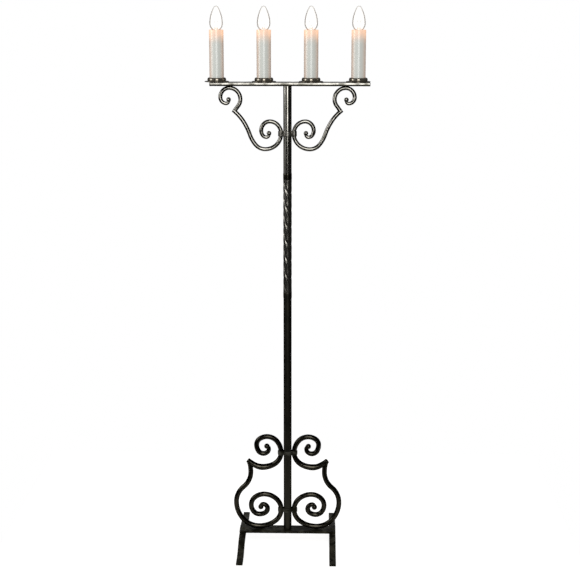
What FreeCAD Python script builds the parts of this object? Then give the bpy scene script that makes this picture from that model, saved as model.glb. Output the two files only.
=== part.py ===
import FreeCAD, Part
import math
import os

# Electrified wrought iron floor candelabrum with four candles.
# Millimetres. Z is up, the floor is Z = 0, the candle bar runs along X,
# the front is -Y and the post stands on the Z axis.

# Feet and crossbar
FOOT_SPACING = 251.0
FOOT_LENGTH = 356.0
FOOT_WIDTH = 18.0
FOOT_THICKNESS = 7.0
FOOT_RISE = 19.5
FOOT_PAD = 26.0
FOOT_SEAT = 7.0
CROSSBAR_WIDTH = 45.0
CROSSBAR_THICKNESS = 6.0
RIVET_SHANK = 7.0
RIVET_HEAD = 11.0
RIVET_HEAD_HEIGHT = 2.2

# Cord bush in the crossbar
CORD_BORE = 8.0
BUSH_WALL = 2.0
BUSH_FLANGE = 2.5
BUSH_FLANGE_HEIGHT = 2.0
BUSH_LIP = 0.6
BUSH_LIP_HEIGHT = 1.5

# Post
POST_OD = 22.0
POST_WALL = 3.0
LOWER_TUBE_LENGTH = 682.0
TWIST_LENGTH = 306.0
UPPER_TUBE_LENGTH = 245.0
TWIST_OD = 22.8
TWIST_BORE = 9.0
TWIST_GROOVES = 4
TWIST_PITCH = 184.0
GROOVE_RADIUS = 2.4
GROOVE_DEPTH = 1.3
GROOVE_MARGIN = 9.0
SPIGOT_LENGTH = 20.0
FERRULE_LENGTH = 15.5
FERRULE_WALL = 1.1

# Fixing of the bar on the post
NIPPLE_OD = 10.0
NIPPLE_BORE = 7.0
NIPPLE_PLUG_DEPTH = 14.0
NIPPLE_NUT_FLATS = 14.0
NIPPLE_NUT_HEIGHT = 3.5
NIPPLE_PROUD = 0.5

# Candle bar
BAR_WIDTH = 44.0
BAR_HEIGHT = 10.0
BAR_WALL = 2.0
BAR_EDGE = 1.0
BAR_LEFT_OVERHANG = 18.0
BAR_RIGHT_OVERHANG = 31.0
BAR_PLUG_LENGTH = 6.0
CANDLE_COUNT = 4
CANDLE_SPACING = 122.8

# Lamp
LAMP_DIAMETER = 35.0
LAMP_GLASS_HEIGHT = 72.0
LAMP_WIDEST_HEIGHT = 27.4
LAMP_TIP_RADIUS = 7.0
LAMP_GLASS_WALL = 0.9
CAP_THREAD = 13.9
CAP_WALL = 0.8
CAP_LENGTH = 25.0
CAP_TAPER = 7.0
CAP_CONTACT = 5.0
CAP_CONTACT_HEIGHT = 1.2
CAP_RIM = 17.0
CAP_RIM_HEIGHT = 3.0
NECK_DEPTH = 12.0
STEM_DIAMETER = 8.6
STEM_HEIGHT = 22.0
STEM_TOP = 5.0
STEM_TAPER = 8.0
FILAMENT_WIRE = 0.8
FILAMENT_SPAN = 12.0
FILAMENT_HEIGHT = 20.0
FILAMENT_HUB = 3.0
FILAMENT_HUB_HEIGHT = 1.2
FILAMENT_ARCH = 5.0

# Lampholder
SHELL_WALL = 0.8
HOLDER_WALL = 5.0
HOLDER_FLOOR = 6.0
HOLDER_SOCKET = 9.0
HOLDER_BOSS = 16.0
HOLDER_WIRE_HOLE = 5.0
CONTACT_BASE = 1.5
CONTACT_HEIGHT = 7.5
CONTACT_LEDGE = 0.5
SHELL_LIFT = 0.5
RISER_OD = 10.0
RISER_BORE = 7.0
RISER_LENGTH = 85.0
PAN_NUT_FLATS = 14.0
PAN_NUT_HEIGHT = 5.0

# Candle sleeve and drip pan
SLEEVE_LENGTH = 127.0
SLEEVE_WALL = 0.9
SLEEVE_ROOM = 0.4
SLEEVE_EDGE = 0.3
PAN_FLOOR = 6.0
PAN_HEIGHT = 11.0
PAN_RIM_WALL = 5.4
PAN_FLANGE = 7.4
PAN_FLANGE_HEIGHT = 2.0
PAN_BEAD = 5.4

# Wiring inside the bar
LEAD_DIAMETER = 2.6
LEAD_BEND = 3.6
TERMINAL_LENGTH = 12.0
TERMINAL_WIDTH = 12.0
TERMINAL_HEIGHT = 5.0
TERMINAL_PITCH = 4.0

# Scrolls: round rod, drawn thinner towards a ball at each end, thickest along the arm to the kink
BRACKET_ROD = 11.0
BRACKET_TIP = 8.6
BRACKET_BALL = 12.4
BASE_ROD = 14.0
BASE_ARM = 17.5
BASE_TIP = 11.0
BASE_BALL = 15.0
BRACKET_KINK_END = 5.0
BASE_KINK_END = 5.0
TAPER_STATIONS = 3
ARM_STATIONS = 3

# Collars: flat straps round the post and both rods
COLLAR_STRAP = 1.6
BRACKET_COLLAR_HEIGHT = 14.0
BASE_COLLAR_HEIGHT = 12.0

# Clearances
FIT = 0.1
THREAD_FIT = 0.08
SLEEVE_FIT = 0.3
WELD_GAP = 0.05

# Heights worked out from the sizes above
crossbar_bottom = FOOT_RISE + FOOT_THICKNESS
crossbar_top = crossbar_bottom + CROSSBAR_THICKNESS
lower_tube_top = crossbar_top + LOWER_TUBE_LENGTH
upper_tube_bottom = lower_tube_top + TWIST_LENGTH
bar_bottom = upper_tube_bottom + UPPER_TUBE_LENGTH
bar_top = bar_bottom + BAR_HEIGHT
bar_ceiling = bar_top - BAR_WALL
bar_floor = bar_bottom + BAR_WALL
pan_floor_top = bar_top + PAN_FLOOR
riser_top = bar_ceiling + RISER_LENGTH
holder_bottom = riser_top - HOLDER_SOCKET
cup_floor = riser_top + HOLDER_FLOOR
cap_bottom = cup_floor + CONTACT_HEIGHT + FIT
cap_rim_top = cap_bottom + CAP_LENGTH
holder_top = cap_rim_top - CAP_RIM_HEIGHT - 6 * FIT
stem_top = cap_rim_top + STEM_HEIGHT
shell_bottom = cup_floor + CONTACT_HEIGHT + SHELL_LIFT

# Widths worked out from the sizes above
post_radius = POST_OD / 2
post_bore = POST_OD - 2 * POST_WALL
sleeve_bore = LAMP_DIAMETER + 2 * SLEEVE_ROOM
sleeve_od = sleeve_bore + 2 * SLEEVE_WALL
pan_recess = sleeve_od + 2 * SLEEVE_FIT
pan_rim_od = pan_recess + 2 * PAN_RIM_WALL
pan_flange_od = pan_rim_od + 2 * PAN_FLANGE
shell_bore = CAP_THREAD + 2 * THREAD_FIT
shell_od = shell_bore + 2 * SHELL_WALL
cup_bore = shell_od + 2 * FIT
holder_od = cup_bore + 2 * HOLDER_WALL
contact_well = shell_bore - 2 * CONTACT_LEDGE
neck_od = CAP_THREAD - 2 * CAP_WALL - 2 * FIT
bush_od = CORD_BORE + 2 * BUSH_WALL

# Where the candles stand along the bar
first_candle = -CANDLE_SPACING * (CANDLE_COUNT - 1) / 2
candle_places = [first_candle + CANDLE_SPACING * i for i in range(CANDLE_COUNT)]
bar_left = candle_places[0] - BAR_LEFT_OVERHANG
bar_right = candle_places[-1] + BAR_RIGHT_OVERHANG

# Scroll routes: (out from the post's surface, height, heading in degrees).
# Each route runs from one ball, past the collar, to the kink, or on from it.
# The station nearest the post is where the rod touches it, under the collar.
# Bracket heights are measured from the underside of the bar.
BRACKET_KINK = (128.0, -66.0)
BRACKET_INNER = [
    (37.6, -123.5, 260.0),
    (44.0, -134.0, 0.0),
    (58.0, -116.4, 90.0),
    (35.5, -92.6, 180.0),
    (BRACKET_ROD / 2 + WELD_GAP, -124.5, 270.0),
    (47.5, -165.5, 0.0),
    (88.0, -127.0, 71.0),
    (*BRACKET_KINK, 40.0),
]
BRACKET_OUTER = [
    (*BRACKET_KINK, 126.0),
    (112.0, -35.0, 90.0),
    (141.0, -BRACKET_ROD / 2 - WELD_GAP, 0.0),
    (164.5, -30.0, 270.0),
    (149.0, -46.0, 180.0),
    (143.0, -36.0, 80.0),
]
# Base heights are measured from the top of the crossbar.
BASE_KINK = (96.0, 199.0)
BASE_INNER = [
    (46.5, 243.3, 215.0),
    (41.0, 235.8, 270.0),
    (56.0, 221.8, 0.0),
    (75.0, 247.6, 90.0),
    (46.0, 271.2, 180.0),
    (BASE_ROD / 2 + WELD_GAP, 225.0, 270.0),
    (BASE_ROD / 2 + 1.9, 213.4, 288.0),
    (59.0, 182.2, 0.0),
    (*BASE_KINK, 40.0),
]
BASE_OUTER = [
    (*BASE_KINK, 252.0),
    (91.5, 168.0, 270.0),
    (132.5, 79.0, 270.0),
    (69.0, BASE_ROD / 2 + WELD_GAP, 180.0),
    (BASE_ROD / 2 + WELD_GAP, 57.0, 90.0),
    (55.0, 102.0, 0.0),
    (91.0, 69.8, 270.0),
    (67.5, 42.2, 180.0),
    (45.3, 59.3, 90.0),
    (58.0, 72.2, 0.0),
    (64.0, 64.2, 275.0),
]


def vec(x, y, z):
    return FreeCAD.Vector(x, y, z)


def cylinder(diameter, bottom, height, x=0.0, y=0.0):
    return Part.makeCylinder(diameter / 2, height, vec(x, y, bottom))


def tube(outer, inner, bottom, height, x=0.0, y=0.0):
    return cylinder(outer, bottom, height, x, y).cut(cylinder(inner, bottom, height, x, y))


def block(x0, x1, y0, y1, z0, z1):
    return Part.makeBox(x1 - x0, y1 - y0, z1 - z0, vec(x0, y0, z0))


def turned(edges):
    face = Part.Face(Part.Wire(edges))
    return face.revolve(vec(0, 0, 0), vec(0, 0, 1), 360)


def outline(points):
    ring = [vec(r, 0, z) for r, z in points]
    return [Part.LineSegment(a, b).toShape() for a, b in zip(ring, ring[1:] + ring[:1])]


def hexagon(flats, bottom, height, x=0.0):
    corner = flats / 2 / math.cos(math.radians(30))
    turns = [math.radians(60 * i) for i in range(7)]
    points = [vec(x + corner * math.cos(a), corner * math.sin(a), bottom) for a in turns]
    return Part.Face(Part.makePolygon(points)).extrude(vec(0, 0, height))


def heading_vector(angle):
    return vec(math.cos(math.radians(angle)), 0, math.sin(math.radians(angle)))


def arc_from(start, angle, end):
    """Arc that leaves start at an angle in the XZ plane and reaches end."""
    along = heading_vector(angle)
    side = heading_vector(angle + 90)
    chord = end - start
    turn = 2 * math.atan2(side.dot(chord), along.dot(chord))
    radius = chord.dot(chord) / (2 * side.dot(chord))
    centre = start + side * radius
    spoke = start - centre
    cos_half = math.cos(turn / 2)
    sin_half = math.sin(turn / 2)
    swung = vec(spoke.x * cos_half - spoke.z * sin_half, 0, spoke.x * sin_half + spoke.z * cos_half)
    edge = Part.Arc(start, centre + swung, end).toShape()
    return edge, angle + math.degrees(turn)


def two_arcs(start, start_angle, end, end_angle):
    """Two tangent arcs between two points with given headings."""
    leave = heading_vector(start_angle)
    arrive = heading_vector(end_angle)
    span = end - start
    both = span.dot(leave + arrive)
    spread = 2 * (1 - leave.dot(arrive))
    if spread < 1e-9:
        reach = span.dot(span) / (2 * both)
    else:
        reach = (math.sqrt(both * both + spread * span.dot(span)) - both) / spread
    joint = (start + leave * reach + end - arrive * reach) * 0.5
    first, angle = arc_from(start, start_angle, joint)
    second, angle = arc_from(joint, angle, end)
    return [first, second]


def rod(stations, first_diameter, last_diameter):
    """Round rod along stations (x, z, heading), its thickness running evenly from end to end."""
    edges = []
    for (x0, z0, a0), (x1, z1, a1) in zip(stations, stations[1:]):
        edges += two_arcs(vec(x0, 0, z0), a0, vec(x1, 0, z1), a1)
    sections = []
    for (x, z, angle), diameter in ((stations[0], first_diameter), (stations[-1], last_diameter)):
        circle = Part.Circle(vec(x, 0, z), heading_vector(angle), diameter / 2)
        sections.append(Part.Wire([circle.toShape()]))
    if first_diameter == last_diameter:
        sections = sections[:1]
    return Part.Wire(edges).makePipeShell(sections, True, False)


def scroll(inner, outer, base, diameter, arm, tip, ball, kink_end):
    """One scroll: a ball, a drawn curl, the collar bend, a swelling arm, the kink, then on to a ball."""
    inner = [(post_radius + out, base + up, angle) for out, up, angle in inner]
    outer = [(post_radius + out, base + up, angle) for out, up, angle in outer]
    kink_x, kink_z, kink_angle = inner[-1]
    pieces = [
        rod(inner[:TAPER_STATIONS], tip, diameter),
        rod(inner[TAPER_STATIONS - 1:1 - ARM_STATIONS], diameter, diameter),
        rod(inner[-ARM_STATIONS:2 - ARM_STATIONS], diameter, arm),
        rod(inner[1 - ARM_STATIONS:], arm, diameter),
        Part.makeCylinder(diameter / 2, kink_end, vec(kink_x, 0, kink_z), heading_vector(kink_angle)),
        rod(outer[:1 - TAPER_STATIONS], diameter, diameter),
        rod(outer[-TAPER_STATIONS:], diameter, tip),
    ]
    for x, z, angle in (inner[0], outer[-1]):
        pieces.append(Part.makeSphere(ball / 2, vec(x, 0, z)))
    return pieces[0].multiFuse(pieces[1:]).removeSplitter()


def mirrored(shape):
    return shape.mirror(vec(0, 0, 0), vec(1, 0, 0))


def strap_outline(rod_place, rod_diameter, room, bottom):
    """Line drawn tight round the post and the two rods beside it, a little way off."""
    big = post_radius + room
    small = rod_diameter / 2 + room
    lean = math.acos((big - small) / rod_place)
    c = math.cos(lean)
    s = math.sin(lean)
    right = [vec(rod_place + small * c, -small * s, bottom), vec(rod_place + small * c, small * s, bottom)]
    left = [vec(-p.x, p.y, bottom) for p in right]
    back = [vec(big * c, big * s, bottom), vec(-big * c, big * s, bottom)]
    front = [vec(-p.x, -p.y, bottom) for p in back]
    edges = [
        Part.Arc(right[0], vec(rod_place + small, 0, bottom), right[1]),
        Part.LineSegment(right[1], back[0]),
        Part.Arc(back[0], vec(0, big, bottom), back[1]),
        Part.LineSegment(back[1], left[1]),
        Part.Arc(left[1], vec(-rod_place - small, 0, bottom), left[0]),
        Part.LineSegment(left[0], front[0]),
        Part.Arc(front[0], vec(0, -big, bottom), front[1]),
        Part.LineSegment(front[1], right[0]),
    ]
    return Part.Face(Part.Wire([edge.toShape() for edge in edges]))


def bow(before, touch, after, rod_diameter, height):
    """How far a rod's far side bends away from the post over half the height of its collar."""
    places = [(vec(x, 0, z), angle) for x, z, angle in (before, touch, after)]
    arriving = two_arcs(*places[0], *places[1])[1]
    leaving = two_arcs(*places[1], *places[2])[0]
    radius = min(arriving.Curve.Radius, leaving.Curve.Radius) - rod_diameter / 2
    return radius - math.sqrt(radius ** 2 - (height / 2) ** 2)


def collar(stations, base, rod_diameter, height):
    """Strap closed round the post and two rods that bow away from it above and below."""
    touch = min(stations)
    out, up, angle = touch
    at = stations.index(touch)
    rod_place = post_radius + out + bow(*stations[at - 1:at + 2], rod_diameter, height)
    bottom = base + up - height / 2
    outer = strap_outline(rod_place, rod_diameter, FIT + COLLAR_STRAP, bottom)
    inner = strap_outline(rod_place, rod_diameter, FIT, bottom)
    return outer.extrude(vec(0, 0, height)).cut(inner.extrude(vec(0, 0, height)))


def foot():
    """Arched flat bar along X: level pads on the floor, a level seat in the middle."""
    half = FOOT_LENGTH / 2
    seat = CROSSBAR_WIDTH / 2 + FOOT_SEAT
    low = FOOT_THICKNESS / 2
    high = FOOT_RISE + FOOT_THICKNESS / 2
    stops = [vec(-half, 0, low), vec(FOOT_PAD - half, 0, low), vec(-seat, 0, high),
             vec(seat, 0, high), vec(half - FOOT_PAD, 0, low), vec(half, 0, low)]
    edges = [Part.LineSegment(stops[0], stops[1]).toShape()]
    edges += two_arcs(stops[1], 0, stops[2], 0)
    edges.append(Part.LineSegment(stops[2], stops[3]).toShape())
    edges += two_arcs(stops[3], 0, stops[4], 0)
    edges.append(Part.LineSegment(stops[4], stops[5]).toShape())
    wide = FOOT_WIDTH / 2
    corners = [vec(-half, -wide, 0), vec(-half, wide, 0),
               vec(-half, wide, FOOT_THICKNESS), vec(-half, -wide, FOOT_THICKNESS), vec(-half, -wide, 0)]
    bar = Part.Wire(edges).makePipeShell([Part.makePolygon(corners)], True, False)
    hole = cylinder(RIVET_SHANK + 2 * FIT, 0, crossbar_top)
    return bar.cut(hole)


def placed_foot(x):
    bar = foot()
    bar.rotate(vec(0, 0, 0), vec(0, 0, 1), 90)
    bar.translate(vec(x, 0, 0))
    return bar


def crossbar():
    half = (FOOT_SPACING + FOOT_WIDTH) / 2
    wide = CROSSBAR_WIDTH / 2
    bar = block(-half, half, -wide, wide, crossbar_bottom, crossbar_top)
    bar = bar.cut(cylinder(bush_od + 2 * FIT, crossbar_bottom, CROSSBAR_THICKNESS))
    for x in (-FOOT_SPACING / 2, FOOT_SPACING / 2):
        bar = bar.cut(cylinder(RIVET_SHANK + 2 * FIT, crossbar_bottom, CROSSBAR_THICKNESS, x))
    return bar


def rivet_head(base, up):
    """Low domed head whose flat side lies at a height, bulging up (1) or down (-1)."""
    radius = (RIVET_HEAD ** 2 / 4 + RIVET_HEAD_HEIGHT ** 2) / (2 * RIVET_HEAD_HEIGHT)
    centre = base + up * (RIVET_HEAD_HEIGHT - radius)
    ball = Part.makeSphere(radius, vec(0, 0, centre))
    slab_bottom = min(base, base + up * RIVET_HEAD_HEIGHT)
    return ball.common(cylinder(RIVET_HEAD, slab_bottom, RIVET_HEAD_HEIGHT))


def rivet(x):
    shank = cylinder(RIVET_SHANK, FOOT_RISE, crossbar_top - FOOT_RISE)
    whole = shank.multiFuse([rivet_head(crossbar_top, 1), rivet_head(FOOT_RISE, -1)]).removeSplitter()
    whole.translate(vec(x, 0, 0))
    return whole


def cord_bush():
    body = cylinder(bush_od, crossbar_bottom, CROSSBAR_THICKNESS)
    flange = cylinder(bush_od + 2 * BUSH_FLANGE, crossbar_bottom - BUSH_FLANGE_HEIGHT, BUSH_FLANGE_HEIGHT)
    lip = cylinder(bush_od + 2 * BUSH_LIP, crossbar_top, BUSH_LIP_HEIGHT)
    length = BUSH_FLANGE_HEIGHT + CROSSBAR_THICKNESS + BUSH_LIP_HEIGHT
    bore = cylinder(CORD_BORE, crossbar_bottom - BUSH_FLANGE_HEIGHT, length)
    return body.multiFuse([flange, lip]).cut(bore).removeSplitter()


def groove(turn):
    """One left-hand groove of the twist, as the body that it takes away."""
    centre = TWIST_OD / 2 + GROOVE_RADIUS - GROOVE_DEPTH
    bottom = lower_tube_top + GROOVE_MARGIN
    spine = Part.makeHelix(TWIST_PITCH, TWIST_LENGTH - 2 * GROOVE_MARGIN, centre, 0, True)
    slope = TWIST_PITCH / (2 * math.pi * centre)
    section = Part.Circle(vec(centre, 0, 0), vec(0, -1, slope), GROOVE_RADIUS)
    body = Part.Wire(spine).makePipeShell([Part.Wire([section.toShape()])], True, True)
    body.rotate(vec(0, 0, 0), vec(0, 0, 1), turn)
    body.translate(vec(0, 0, bottom))
    return body


def twisted_bar():
    whole = TWIST_LENGTH + 2 * SPIGOT_LENGTH
    bar = cylinder(TWIST_OD, lower_tube_top, TWIST_LENGTH)
    bar = bar.fuse(cylinder(post_bore - 2 * FIT, lower_tube_top - SPIGOT_LENGTH, whole))
    bar = bar.cut(cylinder(TWIST_BORE, lower_tube_top - SPIGOT_LENGTH, whole))
    for i in range(TWIST_GROOVES):
        bar = bar.cut(groove(360.0 * i / TWIST_GROOVES))
    return bar


def ferrule(bottom):
    bore = POST_OD + 2 * FIT
    return tube(bore + 2 * FERRULE_WALL, bore, bottom, FERRULE_LENGTH)


def nipple():
    bottom = bar_bottom - NIPPLE_PLUG_DEPTH
    top = bar_floor + NIPPLE_NUT_HEIGHT + NIPPLE_PROUD
    return tube(NIPPLE_OD, NIPPLE_BORE, bottom, top - bottom)


def post_plug():
    bottom = bar_bottom - NIPPLE_PLUG_DEPTH
    return tube(post_bore - 2 * FIT, NIPPLE_OD + 2 * THREAD_FIT, bottom, NIPPLE_PLUG_DEPTH)


def nipple_nut():
    nut = hexagon(NIPPLE_NUT_FLATS, bar_floor, NIPPLE_NUT_HEIGHT)
    return nut.cut(cylinder(NIPPLE_OD + 2 * THREAD_FIT, bar_floor, NIPPLE_NUT_HEIGHT))


def candle_bar():
    wide = BAR_WIDTH / 2
    inside = wide - BAR_WALL
    bar = block(bar_left, bar_right, -wide, wide, bar_bottom, bar_top)
    long_edges = [e for e in bar.Edges if abs(e.tangentAt(e.FirstParameter).x) > 0.99]
    bar = bar.makeFillet(BAR_EDGE, long_edges)
    bar = bar.cut(block(bar_left, bar_right, -inside, inside, bar_floor, bar_ceiling))
    bar = bar.cut(cylinder(NIPPLE_OD + 2 * FIT, bar_bottom, BAR_WALL))
    for x in candle_places:
        bar = bar.cut(cylinder(RISER_OD + 2 * THREAD_FIT, bar_ceiling, BAR_WALL, x))
    return bar


def bar_plug(x):
    inside = BAR_WIDTH / 2 - BAR_WALL - FIT
    return block(x, x + BAR_PLUG_LENGTH, -inside, inside, bar_floor + FIT, bar_ceiling - FIT)


def terminal_block():
    back = BAR_WIDTH / 2 - BAR_WALL
    half = TERMINAL_LENGTH / 2
    return block(-half, half, back - TERMINAL_WIDTH, back, bar_floor, bar_floor + TERMINAL_HEIGHT)


def lead(x, terminal, place):
    """Lamp lead: down through the riser, one bend, then along the bar to the terminal block."""
    level = bar_floor + LEAD_DIAMETER / 2 + FIT
    centre_y = BAR_WIDTH / 2 - BAR_WALL - TERMINAL_WIDTH / 2
    goal = vec(0, centre_y + place * TERMINAL_PITCH, level)
    start = vec(x, 0, level)
    run = goal - start
    length = run.Length
    along = run * (1 / length)
    bend_start = start + vec(0, 0, LEAD_BEND)
    bend_end = start + along * LEAD_BEND
    slack = LEAD_BEND * (1 - math.sqrt(0.5))
    bend_middle = start + along * slack + vec(0, 0, slack)
    top = vec(x, 0, cup_floor)
    stop = goal - along * (TERMINAL_LENGTH / 4)
    edges = [Part.LineSegment(top, bend_start), Part.Arc(bend_start, bend_middle, bend_end),
             Part.LineSegment(bend_end, stop)]
    ring = Part.Circle(top, vec(0, 0, -1), LEAD_DIAMETER / 2)
    spine = Part.Wire([edge.toShape() for edge in edges])
    wire = spine.makePipeShell([Part.Wire([ring.toShape()])], True, False)
    return wire.cut(terminal)


def drip_pan():
    hole = RISER_OD / 2 + FIT
    flange = pan_flange_od / 2
    rim = pan_rim_od / 2
    recess = pan_recess / 2
    bead = PAN_BEAD / 2
    neck_height = bar_top + PAN_HEIGHT - PAN_BEAD
    top = bar_top + PAN_HEIGHT
    neck = vec(rim - bead, 0, neck_height)
    flange_top = vec(flange, 0, bar_top + PAN_FLANGE_HEIGHT)
    rim_top = vec(rim - bead, 0, top)
    flare, angle = arc_from(flange_top, 180, neck)
    edges = [flare, Part.Arc(neck, vec(rim, 0, neck_height + bead), rim_top).toShape()]
    inner = [rim_top, vec(recess, 0, top), vec(recess, 0, pan_floor_top), vec(hole, 0, pan_floor_top),
             vec(hole, 0, bar_top), vec(flange, 0, bar_top), flange_top]
    edges += [Part.LineSegment(a, b).toShape() for a, b in zip(inner, inner[1:])]
    return turned(edges)


def pan_nut(x):
    nut = hexagon(PAN_NUT_FLATS, pan_floor_top, PAN_NUT_HEIGHT, x)
    return nut.cut(cylinder(RISER_OD + 2 * THREAD_FIT, pan_floor_top, PAN_NUT_HEIGHT, x))


def riser(x):
    return tube(RISER_OD, RISER_BORE, bar_ceiling, RISER_LENGTH, x)


def lampholder():
    boss = cylinder(HOLDER_BOSS, holder_bottom, HOLDER_SOCKET)
    cup = cylinder(holder_od, riser_top, holder_top - riser_top)
    cuts = [
        cylinder(RISER_OD + 2 * THREAD_FIT, holder_bottom, HOLDER_SOCKET),
        cylinder(HOLDER_WIRE_HOLE, riser_top, HOLDER_FLOOR),
        cylinder(contact_well, cup_floor, shell_bottom - cup_floor),
        cylinder(cup_bore, shell_bottom, holder_top - shell_bottom),
    ]
    return boss.fuse(cup).cut(cuts).removeSplitter()


def holder_shell(x):
    return tube(shell_od, shell_bore, shell_bottom, holder_top - shell_bottom, x)


def holder_contact(x):
    base = cylinder(contact_well - 2 * FIT, cup_floor, CONTACT_BASE, x)
    return base.fuse(cylinder(CAP_CONTACT, cup_floor, CONTACT_HEIGHT, x))


def candle_sleeve():
    sleeve = tube(sleeve_od, sleeve_bore, pan_floor_top, SLEEVE_LENGTH)
    top = pan_floor_top + SLEEVE_LENGTH
    rims = [e for e in sleeve.Edges if e.BoundBox.ZMin > top - SLEEVE_EDGE]
    return sleeve.makeFillet(SLEEVE_EDGE, rims)


def lamp_cap():
    thread = CAP_THREAD / 2
    bore = thread - CAP_WALL
    rim = CAP_RIM / 2
    contact = CAP_CONTACT / 2
    rim_bottom = cap_rim_top - CAP_RIM_HEIGHT
    return turned(outline([
        (0, cap_bottom), (contact, cap_bottom), (contact, cap_bottom + CAP_CONTACT_HEIGHT),
        (thread, cap_bottom + CAP_TAPER), (thread, rim_bottom), (rim, cap_rim_top),
        (rim - CAP_WALL, cap_rim_top), (bore, rim_bottom), (bore, cap_rim_top - NECK_DEPTH - FIT),
        (0, cap_rim_top - NECK_DEPTH - FIT)]))


def glass_body(inset):
    """Solid of the lamp's envelope, its surface drawn in by an inset."""
    neck = neck_od / 2 - inset
    belly = LAMP_DIAMETER / 2 - inset
    tip = LAMP_TIP_RADIUS - inset
    bottom = vec(neck, 0, cap_rim_top - NECK_DEPTH)
    throat = vec(neck, 0, cap_rim_top - CAP_RIM_HEIGHT / 2)
    widest = vec(belly, 0, cap_rim_top + LAMP_WIDEST_HEIGHT)
    tip_centre = cap_rim_top + LAMP_GLASS_HEIGHT - LAMP_TIP_RADIUS
    shoulder = vec(0, 0, tip_centre) + heading_vector(30) * tip
    point = vec(0, 0, tip_centre + tip)
    edges = [Part.LineSegment(bottom, throat).toShape()]
    edges += two_arcs(throat, 90, widest, 90)
    edges += two_arcs(widest, 90, shoulder, 120)
    edges.append(arc_from(shoulder, 120, point)[0])
    foot_of_axis = vec(0, 0, bottom.z)
    edges.append(Part.LineSegment(point, foot_of_axis).toShape())
    edges.append(Part.LineSegment(foot_of_axis, bottom).toShape())
    return turned(edges)


def lamp_glass():
    return glass_body(0).cut(glass_body(LAMP_GLASS_WALL))


def lamp_stem():
    flare = neck_od / 2 - LAMP_GLASS_WALL - FIT
    stem = STEM_DIAMETER / 2
    bottom = cap_rim_top - NECK_DEPTH
    return turned(outline([
        (0, bottom), (flare, bottom), (flare, bottom + NECK_DEPTH / 3), (stem, bottom + NECK_DEPTH / 2),
        (stem, stem_top - STEM_TAPER), (STEM_TOP / 2, stem_top), (0, stem_top)]))


def lamp_filament():
    """Two support wires on a hub, joined by an arched filament."""
    base = stem_top + FIT
    hub_top = base + FILAMENT_HUB_HEIGHT
    arch_foot = base + FILAMENT_HEIGHT - FILAMENT_ARCH
    half = FILAMENT_SPAN / 2
    ends = [vec(-half, 0, arch_foot), vec(half, 0, arch_foot)]
    pieces = [cylinder(FILAMENT_HUB, base, FILAMENT_HUB_HEIGHT)]
    for end in ends:
        root = vec(math.copysign(FILAMENT_HUB / 4, end.x), 0, hub_top - FILAMENT_WIRE)
        rise = end - root
        pieces.append(Part.makeCylinder(FILAMENT_WIRE / 2, rise.Length, root, rise))
        pieces.append(Part.makeSphere(FILAMENT_WIRE / 2, end))
    arch = Part.Arc(ends[0], vec(0, 0, base + FILAMENT_HEIGHT), ends[1]).toShape()
    ring = Part.Circle(ends[0], arch.tangentAt(arch.FirstParameter), FILAMENT_WIRE / 2)
    pieces.append(Part.Wire([arch]).makePipeShell([Part.Wire([ring.toShape()])], True, False))
    return pieces[0].multiFuse(pieces[1:])


def moved(shape, x):
    copy = shape.copy()
    copy.translate(vec(x, 0, 0))
    return copy


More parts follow.
